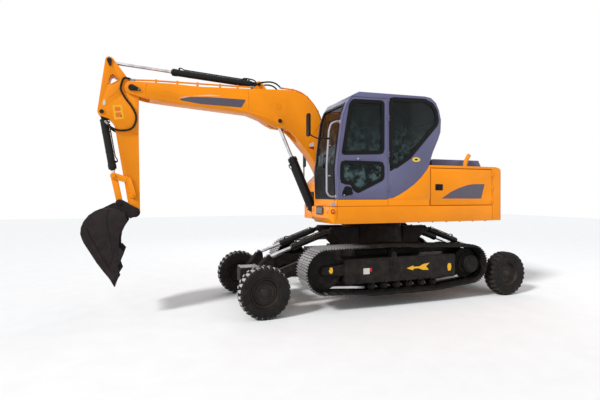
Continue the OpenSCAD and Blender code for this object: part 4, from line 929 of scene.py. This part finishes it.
nose = Form()
nose.front(rect(480, 1462, 760, 1590, 26), 1246, 1262)
nose.front(rect(502, 1476, 738, 1576, 20), 1262, 1268, 1)
nose.turned((1206, HALF_W, 1520), OUT, [(34, -4), (34, 3), (30, 6), (0, 6)], 28)
nose.turned((1206, HALF_W + 4, 1520), OUT, [(27, 0), (26, 9), (18, 16), (0, 19)], 28, 2)
nose.turned((1250, 900, 1540), AHEAD, [(40, -4), (40, 6), (34, 10), (0, 10)], 28, 3)
nose.prism(rect(1165, 1600, 1235, 1650, 8), HALF_W, HALF_W + 10, 3)
nose.turned((1250, 340, 1540), AHEAD, [(30, -4), (30, 8), (22, 14), (0, 16)], 24, 2)
nose.piece("nose_lamps", "house", "dark_plastic", BLACK, LENS, AMBER, RAIL, bevel=2)

DOWN = (0, 0, -1)
deck = Form()
for x in (950, 1040, 1130):
    deck.box((x, 300, 1590), (x + 40, 980, 1594))
for side, bolts in ((1, 11), (-1, 10)):
    for k in range(bolts):
        deck.bolt((-1650 + k * 270, side * 996, DECK_LOW), DOWN, 12, 9)
deck.bolt_ring((0, 0, DECK_LOW), DOWN, 430, 24, 12, 14)
deck.piece("deck_fittings", "house", "dark_frame", FRAME)

TANK_DOORS = (rect(-430, 1640, 160, 2110, 26),
              fillet([(220, 1640), (830, 1640), (830, 1950), (690, 2110), (220, 2110)], 26))
tank = Form()
tank.turned((300, -800, 2160), UP, [(62, -4), (62, 22), (54, 30), (20, 34), (0, 34)], 32)
tank.sheet(rect(-400, -960, 160, -640, 30), 2158, 2166, 1)
for k in range(6):
    tank.box((-380 + k * 90, -940, 2166), (-340 + k * 90, -660, 2169), 1)
tank.prism(rect(884, 1650, 900, 1830, 3), -940, -560, 1)
tank.on(-1, -HALF_W)
for door in TANK_DOORS:
    tank.ring(door, -4, 4, -1, 0.8, 2)
for x in (120, 262):
    tank.prism(rect(x - 26, 1850, x + 26, 1920, 8), 0, 6, 1)
tank.piece("tank_fittings", "house", "dark_plastic", ORANGE, BLACK, SEAM, bevel=2)

# ---- Cab ----
REAR_PANE = ((237, 3280), (-419, 3301), (-560, 3250), (-640, 3151), (-675, 2990), (-655, 2907), (-135, 2353),
             (237, 2120))
DOOR_PANE_TOP = ((930, 3120), (880, 3200), (380, 3215), (345, 3190), (345, 2410), (1050, 2376), (1045, 2440))
DOOR_PANE_LOW = ((1075, 2270), (345, 2270), (345, 2010), (800, 1800), (870, 1850), (905, 1930), (1075, 1940))
# The cab's front and back edges on its side, as [x, z]
CAB_FRONT = ((1122, 1695), (1139, 2165), (1090, 2583), (1040, 2958), (974, 3142), (891, 3268))
CAB_BACK = ((-535, 3337), (-632, 3263), (-691, 3153), (-731, 2993), (-721, 2796), (-671, 2663), (-573, 2464))
CAB_LEFT = 1000
CAB_RIGHT = 90
GASKET = 40


def line_part(line, z0, z1):
    """The part of a [x, z] line between two heights, with its ends worked out."""
    line = sorted((Vector(p) for p in line), key=lambda p: p.y)
    out = []
    for a, b in zip(line, line[1:]):
        for z in (z0, z1):
            if a.y <= z < b.y:
                out.append(a.lerp(b, (z - a.y) / (b.y - a.y)))
        if z0 < b.y < z1:
            out.append(b)
    return sorted(out, key=lambda p: p.y)


def band(form, line, y0, y1, low, high, sign, kind=0):
    """A strip that follows a line from y0 to y1, between two distances out of it."""
    ways = []
    for i in range(len(line)):
        go = (line[min(i + 1, len(line) - 1)] - line[max(i - 1, 0)]).normalized()
        ways.append(Vector((go.y, -go.x)) * sign)
    under = [p + n * low for p, n in zip(line, ways)]
    over = [p + n * high for p, n in zip(line, ways)]
    form.prism(under + over[::-1], y0, y1, kind)


gasket = Form()
for y, outline in ((CAB_LEFT - 4, REAR_PANE), (CAB_RIGHT - 5, REAR_PANE), (CAB_RIGHT - 5, DOOR_PANE_TOP)):
    gasket.ring(fillet(outline, 90), -50, 12, y, y + 9)
for line, sign, y0, y1 in ((line_part(CAB_FRONT, 1770, 3170), 1, 150, 890),
                           (line_part(CAB_BACK, 2490, 3210), -1, 180, 910)):
    for y in (y0 - 18, y1 - 22):
        band(gasket, line, y, y + GASKET, -4, 6, sign)
    for z in (line[0].y, line[-1].y - GASKET):
        band(gasket, line_part(line, z + 0.1, z + GASKET - 0.1), y0 - 18, y1 + 18, -4, 6, sign)
gasket.piece("cab_gaskets", "house", "dark_plastic", BLACK, bevel=1.5)
door_gasket = Form()
for outline in (DOOR_PANE_TOP, DOOR_PANE_LOW):
    door_gasket.ring(fillet(outline, 80), -44, 12, CAB_LEFT - 4, CAB_LEFT + 5)
door_gasket.piece("door_gaskets", "door", "dark_plastic", BLACK, bevel=1.5)

WIPER_ARM = ((1150, 520, 2240), (1146, 520, 2290), (1095, 420, 2780), (1078, 400, 2860))
panel = Form()
band(panel, line_part(CAB_FRONT, 1705, 2235), 132, 908, 1, 12, 1)
for z in (1900, 2090):
    band(panel, line_part(CAB_FRONT, z, z + 8), 150, 890, 12, 16, 1)
panel.tube(fillet(WIPER_ARM, 20, closed=False), 6, 8)
panel.tube([(1108, 400, 2700), (1064, 400, 3010)], 9, 8)
panel.turned((1146, 520, 2225), (1, 0, 0.12), [(30, -4), (30, 16), (22, 22), (0, 22)], 20)
panel.piece("cab_front_panel", "house", "dark_plastic", BLACK, bevel=2)

LOCK_PLATE = ((1057, 1738), (1050, 1810), (1010, 1890), (960, 1900), (900, 1878), (872, 1775))
LOCK_PULL = ((1000, 1790), (930, 1770), (918, 1800), (985, 1828))
lock = Form(1, CAB_LEFT)
lock.prism(fillet(LOCK_PLATE, 22), -2, 5)
lock.prism(fillet(LOCK_PULL, 8), 5, 22)
lock.turned((1022, 4, 1762), OUT, [(12, 0), (12, 6), (0, 7)], 16, 1)
lock.prism(fillet([(850, 2296), (735, 2296), (735, 2330), (850, 2330)], 15), 0, 8, 2)
lock.turned((792, 6, 2313), OUT, [(17, 0), (17, 8), (9, 12), (0, 12)], 20, 1)
lock.piece("door_lock", "door", "dark_plastic", BLACK, RAIL, VIOLET, bevel=2)

badge = Form(1, CAB_LEFT)
badge.prism([(-252 + 76 * cos(a), 2331 + 38 * sin(a)) for a in angles(24)], 0, 1.2)
badge.prism([(-252 + 30 * cos(a), 2331 + 14 * sin(a)) for a in angles(16)], 1.2, 1.8, 1)
badge.piece("cab_sticker", "house", "violet_paint", PALE_YELLOW, BLACK)

roof = Form()
roof.sheet(fillet([(640, 200), (640, 880), (-320, 880), (-320, 200)], 60), 3341, 3350)
for y in (330, 540, 750):
    roof.sheet(fillet([(600, y - 40), (600, y + 40), (-280, y + 40), (-280, y - 40)], 30), 3350, 3357)
roof.piece("cab_roof_panel", "house", "violet_paint", VIOLET, bevel=4)

SEAT_Y = 545
GAUGES_AT = Vector((985, SEAT_Y, 2330))
GRIP = ((0, -104), (22, -100), (28, -60), (30, -20), (26, 10), (30, 30), (24, 44), (0, 48))
BOOT = ((46, -4), (40, 30), (44, 44), (36, 64), (40, 78), (22, 110), (14, 112))
inside = Form()
inside.box((-520, 150, 3270), (760, 940, 3290))
for y in (130, 940):
    pillar = [(-560, y, 2560), (-640, y, 2900), (-560, y, 3200), (-420, y, 3270)]
    inside.tube(fillet(pillar, 120, closed=False), 24, 10, 1)
inside.tube([(-640, 130, 2960), (-640, 940, 2960)], 12, 8, 1)
inside.turned((1000, 240, 2290), (-0.5, 0, 1), [(26, 0), (26, 30), (18, 60), (0, 60)], 16)
inside.tube([(1030, SEAT_Y, 1740), (1035, SEAT_Y, 2180), GAUGES_AT], 26, 12)
across = Vector(OUT)
upward = Vector((-0.45, 0, 1)).normalized().cross(across)


def round_column(a, r):
    """A point r from the steering wheel's middle, in the wheel's own plane."""
    return GAUGES_AT + (across * cos(a) + upward * sin(a)) * r


inside.tube([round_column(tau * k / 40, 165) for k in range(41)], 13, 10)
for a in angles(3, 0.25):
    inside.tube([GAUGES_AT, round_column(a, 163)], 9, 8)
for y in (SEAT_Y - 320, SEAT_Y + 320):
    inside.turned((340, y, 2510), UP, GRIP, 20)
    inside.turned((340, y, 2262), UP, BOOT, 20)
    inside.box((-30, y - 44, 2261), (260, y + 44, 2300))
inside.piece("cab_inside", "house", "dark_plastic", PLASTIC, LINER, bevel=1.5)

# ---- Rails and mirrors ----
LEFT_RAIL = ((1053, 925, 2868), (1110, 930, 2874), (1215, 950, 2830), (1255, 965, 2714), (1290, 965, 2200),
             (1290, 965, 1800), (1230, 950, 1740), (1124, 925, 1740))
RIGHT_RAIL = ((881, -960, 1730), (930, -960, 1730), (930, -960, 2480), (620, -960, 2550), (500, -960, 2500),
              (500, -960, 2160))
MIRROR_ARM = ((1265, 965, 2600), (1450, 975, 2596), (1560, 975, 2640), (1566, 965, 2720))
rail = Form()
for line, radius in ((LEFT_RAIL, 90), (RIGHT_RAIL, 70)):
    rail.tube(fillet(line, radius, closed=False, steps=6), 14, 16)
for foot in ((1054, 925, 2868), (1124, 925, 1740), (882, -960, 1730)):
    rail.turned(foot, AHEAD, [(30, 0), (30, 6), (17, 10)], 20)
for z in (2500, 2050):
    rail.tube([(1269, 965, z), (1230, 958, z)], 10, 8)
rail.piece("hand_rails", "house", "rail_steel", RAIL, smooth=50, replaces=["rails"])
mirror = Form()
mirror.tube(fillet(MIRROR_ARM, 60, closed=False), 9, 12)
mirror.turned((1262, 965, 2600), AHEAD, [(20, -12), (20, 12), (9, 16)], 16)
mirror.front(rect(882, 2622, 998, 2958, 34), 1556, 1584)
mirror.front(rect(892, 2632, 988, 2948, 28), 1551, 1556, 1)
mirror.front(rect(-978, 2302, -862, 2558, 26), 930, 944)
mirror.front(rect(-969, 2312, -871, 2548, 20), 916, 930, 1)
mirror.piece("mirrors", "house", "dark_plastic", BLACK, MIRROR, bevel=4)

# ---- Seat ----
VOXEL = 0.007
CLOTH_STEPS = 20
CHANNEL_DEPTH = 0.006
CHANNEL_WIDTH = 0.006
PUFF_REACH = 0.022


def mesh_now(thing):
    """The mesh that a piece's modifiers give, with the modifiers taken off."""
    mesh = bpy.data.meshes.new_from_object(thing.evaluated_get(bpy.context.evaluated_depsgraph_get()))
    thing.modifiers.clear()
    thing.data = mesh
    return mesh


def puffed(thing, channels):
    """Swell a pad like a filled cover, then press its sewn channels into it.

    channels are rows of (axis, place): a groove across the axis at that place, in metres.
    """
    scene = bpy.context.scene
    remesh = thing.modifiers.new("remesh", "REMESH")
    remesh.mode = "VOXEL"
    remesh.voxel_size = VOXEL
    mesh = mesh_now(thing)
    start = [v.co.copy() for v in mesh.vertices]
    cloth = thing.modifiers.new("cloth", "CLOTH")
    cloth.settings.use_pressure = True
    cloth.settings.uniform_pressure_force = 4.0
    cloth.settings.effector_weights.gravity = 0.0
    cloth.point_cache.frame_start = 1
    cloth.point_cache.frame_end = CLOTH_STEPS
    for step in range(1, CLOTH_STEPS + 1):
        scene.frame_set(step)
    mesh = mesh_now(thing)
    for v, at in zip(mesh.vertices, start):
        gone = v.co - at
        if gone.length > PUFF_REACH:
            v.co = at + gone * (PUFF_REACH / gone.length)
    scene.frame_set(1)
    normals = [v.normal.copy() for v in mesh.vertices]
    for v, out in zip(mesh.vertices, normals):
        for axis, place in channels:
            v.co -= out * CHANNEL_DEPTH * exp(-((v.co[axis] - place) / CHANNEL_WIDTH) ** 2)
    mesh.materials.clear()
    mesh.materials.append(CLOTH)
    mesh.shade_smooth()
    rounder = thing.modifiers.new("rounder", "SUBSURF")
    rounder.levels = 1
    rounder.render_levels = 1


CUSHION = ((-44, 2166), (424, 2166), (432, 2214), (414, 2266), (330, 2272), (160, 2252), (-44, 2262))
BACKREST = ((-52, 2306), (44, 2306), (36, 2480), (16, 2700), (-22, 2872), (-62, 2884), (-112, 2868), (-96, 2600))
PADS = (
    # name, node it stands for, outline on the XZ plane, half width, axis and places of its channels
    ("seat_cushion", ["seat"], CUSHION, 214, 0, (120, 250, 340)),
    ("seat_back", [], BACKREST, 206, 2, (2460, 2600, 2740)),
)
for name, node, outline, half, axis, places in PADS:
    pad = Form()
    pad.prism(fillet(outline, 34), SEAT_Y - half, SEAT_Y + half)
    pad = pad.piece(name, "house", "seat_fabric", CLOTH, replaces=node)
    channels = [(1, (SEAT_Y + across) / 1000) for across in (-118, 118)]
    puffed(pad, channels + [(axis, (plan(v, 0, v))[axis]) for v in places])

# ---- Working arm ----
def strut(a, ra, b, rb, steps=9):
    """The outline round two discs."""
    a, b = Vector(a), Vector(b)
    main = atan2(b.y - a.y, b.x - a.x)
    lean = acos((ra - rb) / (b - a).length)
    out = []
    for at, r, start, turn in ((b, rb, main - lean, 2 * lean), (a, ra, main + lean, 2 * (pi - lean))):
        out += [at + Vector((cos(t), sin(t))) * r for t in (start + turn * k / steps for k in range(steps + 1))]
    return out


def disc(at, r):
    return [(at[0] + r * cos(a), at[1] + r * sin(a)) for a in angles(28)]


def smooth(points, steps=6):
    """A line that passes evenly through the points."""
    p = [Vector(q) for q in points]
    last = len(p) - 1
    out = []
    for i in range(last):
        a, b, c, d = p[max(i - 1, 0)], p[i], p[i + 1], p[min(i + 2, last)]
        for t in (k / steps for k in range(steps)):
            out.append(0.5 * (2 * b + (c - a) * t + (2 * a - 5 * b + 4 * c - d) * t * t
                              + (3 * b - a - 3 * c + d) * t * t * t))
    return out + [p[-1]]


def bead(form, line, r):
    """A weld bead that runs smoothly along a line of [x, z] points on the face."""
    form.tube([(x, 0, z) for x, z in smooth(line, 4)], r, 6)


def cap(form, at, y, r, high):
    """A pin's round end with a chamfer and a grease nipple."""
    end = [(r, -2), (r, high - 3), (r - 4, high), (r * 0.55, high), (r * 0.5, high - 2), (0, high - 2)]
    form.turned((at[0], y, at[1]), OUT, end, 32)
    form.turned((at[0], y, at[1]), OUT, [(5, high - 3), (5, high + 3), (2, high + 6), (0, high + 6)], 10)


def ferrule(form, at, along, r):
    """A crimped end and its nut, where a hose of radius r meets a fitting."""
    crimp = [(r * 0.9, -4), (r * 1.22, 0), (r * 1.22, 34), (r * 1.05, 38), (r * 0.8, 40), (r * 0.8, 46)]
    form.turned(at, along, crimp, 20, 1)
    nut_at = Vector(at) + Vector(along).normalized() * 44
    form.turned(nut_at, along, [(r * 1.35, 0), (r * 1.35, 20), (r * 0.7, 22)], 6, 1)


BOOM_STRIPE = ((3374, 3223), (3013, 3181), (2361, 3172), (2284, 3304), (2399, 3303), (2893, 3297), (3154, 3279))
# A painted highlight: a thin white line along the upper edge of the boom's stripe
BOOM_HIGHLIGHT = ((3351, 3238), (3248, 3275), (2893, 3333), (2700, 3337), (2700, 3328), (2893, 3315), (3154, 3290))
LIFT_LABEL = ((1189, 2639), (1103, 2670), (1103, 2600), (1189, 2590))
LIFT_LABEL_FOOT = ((1189, 2586), (1103, 2596), (1103, 2540), (1189, 2562))
BOOM_BEADS = (((3795, 3212), (3822, 3300), (3790, 3448)), ((2262, 3112), (2245, 3290), (2262, 3478)),
              ((1240, 2520), (1195, 2700), (1070, 2900), (985, 3030)))
pins = Form()
marks = Form()
beads = Form()
for side in (1, -1):
    for form in (pins, marks, beads):
        form.on(side, BOOM_MID + side * BOOM_HALF)
    for outline, kind in ((fillet(BOOM_STRIPE, 14), 0), (BOOM_HIGHLIGHT, 1), (fillet(LIFT_LABEL, 4), 1),
                          (fillet(LIFT_LABEL_FOOT, 4), 2)):
        marks.prism(outline, 0, 1, kind)
    pins.prism(strut(STICK_PIN, 47, (3896, 3326), 19), 6, 18)
    pins.bolt((3899, 18, 3327), OUT, 10, 10, 1)
    pins.prism(strut(BOOM_FOOT, 44, (690, 1790), 18), -1, 7)
    pins.bolt((693, 7, 1786), OUT, 9, 9, 1)
    for at, y, r, high in ((STICK_PIN, 14, 44, 16), (BOOM_RAM_EYE, 0, 35, 17),
                           (ARM_RAM_FOOT, 72 - BOOM_HALF, 28, 10), (BOOM_FOOT, -1, 42, 12)):
        cap(pins, at, y, r, high)
    for line in BOOM_BEADS:
        bead(beads, line, 4.5)
    beads.prism(rect(1785, 3286, 1690, 3189, 10), 0, 3)
    beads.prism(disc(BOOM_RAM_EYE, 62), 0, 7)
pins.piece("boom_pins", "main_boom", "dark_plastic", RAM, STEEL_TOP, bevel=1.2)
marks.piece("boom_stripes", "main_boom", "orange_paint", STRIPE, WHITE_FILM_AND_HIGHLIGHT, RED)
beads.piece("boom_beads", "main_boom", "orange_paint", ORANGE, bevel=1.5)

# Pipes on the boom's crest and down its back, as [x, z]
CREST_RUN = ((3956, 3468), (3700, 3482), (2380, 3509), (2210, 3516))
BACK_RUN = ((1640, 3556), (1548, 3554), (1394, 3536), (1270, 3488), (1156, 3400), (1053, 3282), (976, 3142),
            (924, 2991), (868, 2785), (830, 2640))
CREST = ((2185, 3488), (2995, 3450), (3451, 3457), (3975, 3446))
CLIPS = (2420, 2700, 3050, 3350, 3660)
PIPE_Y = 137         # outside the stick, which folds up between the two pipes
BACK_PIPE_Y = 88


def height_at(line, x):
    """The height of a line of [x, z] points at x."""
    line = sorted(line)
    for a, b in zip(line, line[1:]):
        if a[0] <= x <= b[0]:
            return a[1] + (b[1] - a[1]) * (x - a[0]) / (b[0] - a[0])


pipes = Form()
for side in (1, -1):
    pipes.on(side, BOOM_MID + side * PIPE_Y)
    pipes.tube([(x, 0, z) for x, z in CREST_RUN], 13, 14)
    for x in CLIPS:
        top = height_at(CREST_RUN, x) + 17
        pipes.box((x - 17, -13, height_at(CREST, x) - 2), (x + 17, 13, top))
        pipes.bolt((x, 0, top), UP, 7, 7, 1)
    ferrule(pipes, (3952, 0, 3468), (1, 0, -0.04), 13)
    ferrule(pipes, (2216, 0, 3516), (-1, 0, 0.1), 13)
    pipes.on(side, BOOM_MID + side * BACK_PIPE_Y)
    pipes.tube([(x, 0, z) for x, z in smooth(BACK_RUN, 4)], 12, 14)
    for k in (1, 3, 5, 7):
        a, b = Vector(BACK_RUN[k]), Vector(BACK_RUN[k + 1])
        mid, go = (a + b) / 2, (b - a).normalized()
        out = Vector((go.y, -go.x)) * 16
        if out.x > out.y:
            out = -out
        ends = (mid - go * 15, mid + go * 15)
        pipes.prism([p - out * 1.9 for p in ends] + [p + out for p in reversed(ends)], -22, 22)
    ferrule(pipes, (1634, 0, 3556), (1, 0, 0.12), 12)
pipes.piece("boom_pipe_run", "main_boom", "orange_paint", ORANGE, STEEL_TOP, bevel=1.5, replaces=["boom_pipes"])

# Hoses, with Y measured outwards from the boom's middle
HEEL_HOSE = ((1690, 88, 3570), (1760, 88, 3622), (1853, 98, 3640), (1959, 116, 3624), (2051, 128, 3600),
             (2120, 135, 3556), (2172, 136, 3520))
FOOT_HOSE = ((824, 88, 2622), (790, 80, 2440), (700, 68, 2250), (560, 58, 2040), (500, 58, 1850), (560, 58, 1690))
ARM_RAM_HOSE = ((2330, 40, 3650), (2290, 46, 3672), (2215, 58, 3668), (2140, 80, 3648), (2110, 110, 3600),
                (2150, 130, 3545), (2216, 137, 3518))
hoses = Form()
ram_hose = Form()
for side in (1, -1):
    for form, line, r in ((hoses, HEEL_HOSE, 13), (hoses, FOOT_HOSE, 14), (ram_hose, ARM_RAM_HOSE, 11)):
        form.on(side, BOOM_MID)
        form.tube(smooth(line), r, 12)
hoses.piece("boom_hoses", "main_boom", "hose_rubber", HOSE, smooth=60)
thing = ram_hose.piece("arm_ram_hoses", None, "hose_rubber", HOSE, smooth=60)
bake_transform(thing)

# ---- Stick ----
STICKER = ((4264, 3078), (4134, 3092), (4102, 2887), (4235, 2863))
STICKER_SIGN = ((4236, 3052), (4156, 3062), (4146, 3000), (4227, 2989))
STICKER_BLOCK = ((4222, 2968), (4146, 2979), (4135, 2914), (4213, 2902))
STICKER_MARK = ((4150, 2935), (4139, 2937), (4134, 2910), (4146, 2908))
STICK_BEADS = (((4320, 3180), (4239, 3250), (4170, 3331), (4142, 3420), (4112, 3462)),
               ((4430, 2940), (4300, 2905), (4222, 2820), (4196, 2700)), ((3920, 2712), (4050, 2694), (4190, 2706)))
HEAD_PANEL = ((4275, 3545), (4335, 3349), (4165, 3467))
RAM_GUARD = ((4371, 3163), (4351, 3128), (4349, 3092), (4366, 3060), (4388, 3072), (4388, 3120))
pins = Form()
marks = Form()
beads = Form()
for side in (1, -1):
    for form in (pins, marks, beads):
        form.on(side, BOOM_MID + side * STICK_HALF)
    for outline, radius, y, high, kind in ((STICKER, 10, 0, 1, 0), (STICKER_SIGN, 26, 1, 0.5, 2),
                                           (STICKER_BLOCK, 10, 1, 0.5, 2), (STICKER_MARK, 2, 1.5, 0.5, 1)):
        marks.prism(fillet(outline, radius), y, y + high, kind)
    for line in STICK_BEADS:
        bead(beads, line, 4)
    beads.ring(fillet(HEAD_PANEL, 30), 4, 13, 0, 5)
    for at, boss, r, high in ((ARM_RAM_EYE, 50, 33, 13), (BUCKET_RAM_FOOT, 46, 30, 12)):
        beads.prism(disc(at, boss), 0, 6)
        cap(pins, at, 4, r, high)
    beads.prism(disc(GUIDE_PIN, 46), -20, -17)
    pins.prism(strut(ARM_RAM_EYE, 34, (4290, 3660), 15), 5, 12)
    pins.bolt((4290, 12, 3662), OUT, 8, 8)
beads.on(1, BOOM_MID + STICK_HALF)
beads.prism(fillet(RAM_GUARD, 12), -1, 4, 1)
beads.piece("stick_beads", "dipper", "orange_paint", ORANGE, WHITE_FILM_AND_HIGHLIGHT, bevel=1.2)
pins.piece("stick_pins", "dipper", "dark_plastic", RAM, bevel=1.2)
marks.piece("stick_stickers", "dipper", "orange_paint", YELLOW, BLACK, AMBER)

# The hose on each side of the stick's head, with Y measured outwards from the boom's middle
STICK_HOSE_Y = 137.3
STICK_HOSE = ((4105, 3480), (4136, 3410), (4147, 3312), (4092, 3198), (4010, 3086), (3955, 2986), (3938, 2898),
              (3968, 2791), (4024, 2735), (4120, 2712), (4201, 2715))
for side, name in sides("stick_hose_{}"):
    y = BOOM_MID + side * STICK_HOSE_Y
    line = [(4000, BOOM_MID + side * PIPE_Y, 3468), (4050, BOOM_MID + side * PIPE_Y, 3484)]
    line += [(x, y, z) for x, z in STICK_HOSE]
    line = smooth(line + [(4275, y - side * 2, 2750), (4322, y - side * 30, 2800)])
    hose = Form()
    hose.tube(line, 14, 14)
    ferrule(hose, line[-1], line[-1] - line[-2], 14)
    thing = hose.piece(name, None, "hose_rubber", HOSE, STEEL_TOP, smooth=50,
                       replaces=["stick_hoses"] if side > 0 else ())
    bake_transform(thing)

# ---- Links and bucket ----
links = Form()
for side in (1, -1):
    links.on(side, BOOM_MID + side * 130)
    links.prism(disc(GUIDE_PIN, 40), 0, 7)
    links.bolt((GUIDE_PIN[0], 7, GUIDE_PIN[1]), OUT, 12, 10)
    links.prism(disc(LINK_PIN, 27), 9, 16)
    links.ring(strut(GUIDE_PIN, 44, (4040, 1985), 40), -5, 0, 0, 3)
links.piece("guide_caps", "guides", "orange_paint", ORANGE, bevel=1.5)

SIDE_CUTTER = ((4205, 980), (4158, 1000), (4106, 940), (4150, 815), (4190, 750), (4154, 640), (4205, 560),
               (4262, 590), (4270, 740), (4238, 860))
SIDE_RIM = ((4250, 560), (4290, 620), (4580, 1190), (4600, 1300), (4565, 1310), (4545, 1220), (4225, 620))
TOOTH_HOLDER = ((4296, 612), (4262, 560), (4238, 560), (4216, 600), (4222, 650), (4262, 640))
# Stations down one tooth: x, z, half its depth, half its width
TOOTH_ROWS = ((4246, 592, 24, 34), (4228, 540, 19, 31), (4217, 500, 11, 28), (4211, 472, 4, 25))
TOOTH_PITCH = 167.5
WEAR_STRIP = ((4650, 1226), (4611, 1108), (4520, 950), (4439, 808), (4340, 660))
digger = Form()
for side in (1, -1):
    digger.on(side, BOOM_MID + side * BUCKET_HALF)
    digger.prism(fillet(SIDE_CUTTER, 6), 0, 12)
    for x, z in ((4186, 925), (4190, 840), (4232, 700), (4222, 620)):
        digger.bolt((x, 12, z), OUT, 13, 11)
    digger.prism(fillet(SIDE_RIM, 12), 0, 8)
    bead(digger, ((4300, 1560), (4322, 1400), (4285, 1200), (4262, 1000)), 6)
    digger.on(side, BOOM_MID + side * STICK_HALF)
    digger.prism(disc(BUCKET_PIN, 60), -2, 20)
    cap(digger, BUCKET_PIN, 18, 38, 12)
    cap(digger, (4166, 1645), 17, 30, 9)
digger.on(1, BOOM_MID)
for i in range(5):
    y = 45 - BUCKET_HALF + i * TOOTH_PITCH
    digger.prism(fillet(TOOTH_HOLDER, 8), y - 38, y + 38)
    digger.skin([[(x - half, y - wide, z + half * 0.6), (x - half, y + wide, z + half * 0.6),
                  (x + half, y + wide, z - half * 0.6), (x + half, y - wide, z - half * 0.6)]
                 for x, z, half, wide in TOOTH_ROWS])
    digger.turned((4244, y, 584), OUT, [(0, -41), (9, -41), (9, 41), (0, 41)], 14)
for y in (-280, -90, 90, 280):
    digger.skin([[(x, y - 22, z), (x, y + 22, z), (x + 9, y + 18, z - 5), (x + 9, y - 18, z - 5)]
                 for x, z in smooth(WEAR_STRIP, 3)])
digger.piece("bucket_fittings", "digging_bucket", "bucket_paint", BUCKET, bevel=2)

# ---- Floor, background and light ----
def white_to_camera(tree, out, plain):
    """White to the camera, in reflections and through glass, and the plain shader for light."""
    path = tree.nodes.new("ShaderNodeLightPath")
    seen = path.outputs["Is Camera Ray"]
    for ray in ("Is Glossy Ray", "Is Transmission Ray"):
        either = tree.nodes.new("ShaderNodeMath")
        either.operation = "MAXIMUM"
        tree.links.new(seen, either.inputs[0])
        tree.links.new(path.outputs[ray], either.inputs[1])
        seen = either.outputs[0]
    white = tree.nodes.new("ShaderNodeBackground")
    white.inputs["Color"].default_value = (1, 1, 1, 1)
    white.inputs["Strength"].default_value = 1.0
    mix = tree.nodes.new("ShaderNodeMixShader")
    for socket, value in zip(mix.inputs, (seen, plain, white.outputs[0])):
        tree.links.new(value, socket)
    tree.links.new(mix.outputs[0], out.inputs["Surface"])


world = bpy.data.worlds.new("world")
bpy.context.scene.world = world
world.use_nodes = True
sky = world.node_tree.nodes["Background"]
sky.inputs["Color"].default_value = (0.95, 0.97, 1.0, 1)
sky.inputs["Strength"].default_value = 0.50
white_to_camera(world.node_tree, world.node_tree.nodes["World Output"], sky.outputs[0])

FLOOR_HALF = 30.0
floor_mesh = bpy.data.meshes.new("floor")
corners = rect(-FLOOR_HALF, -FLOOR_HALF, FLOOR_HALF, FLOOR_HALF)
floor_mesh.from_pydata([(x, y, 0) for x, y in corners], [], [(0, 1, 2, 3)])
floor = bpy.data.objects.new("floor", floor_mesh)
bpy.context.collection.objects.link(floor)
paper = Nodes("floor_paper")
shade = paper.mix(paper.patches(3.0, 3, 0.3, 0.7), (0.93, 0.93, 0.93, 1), (0.90, 0.90, 0.90, 1))
floor_mesh.materials.append(paper.surface(shade, 0.9, Specular_IOR_Level=0.1))


def lamp(name, kind, energy, at, towards, size=None, angle=None, colour=(1, 1, 1)):
    data = bpy.data.lights.new(name, kind)
    data.energy = energy
    data.color = colour
    if size:
        data.shape = "RECTANGLE"
        data.size, data.size_y = size
    if angle:
        data.angle = angle
    thing = bpy.data.objects.new(name, data)
    bpy.context.collection.objects.link(thing)
    thing.location = at
    thing.rotation_euler = (Vector(towards) - Vector(at)).to_track_quat("-Z", "Y").to_euler()


lamp("sun", "SUN", 2.9, (7.5, 3.5, 6.6), (0, 0, 1), angle=radians(10))
lamp("key", "AREA", 70, (5.5, 6.5, 6.0), (0, 0, 1.5), size=(5, 4))
lamp("fill", "AREA", 40, (-7.0, 5.0, 3.5), (-1, 0, 1.5), size=(5, 4))
lamp("back", "AREA", 80, (-3.0, -7.0, 6.0), (0, 0, 1.5), size=(6, 4))

bpy.context.scene.view_settings.view_transform = "Standard"
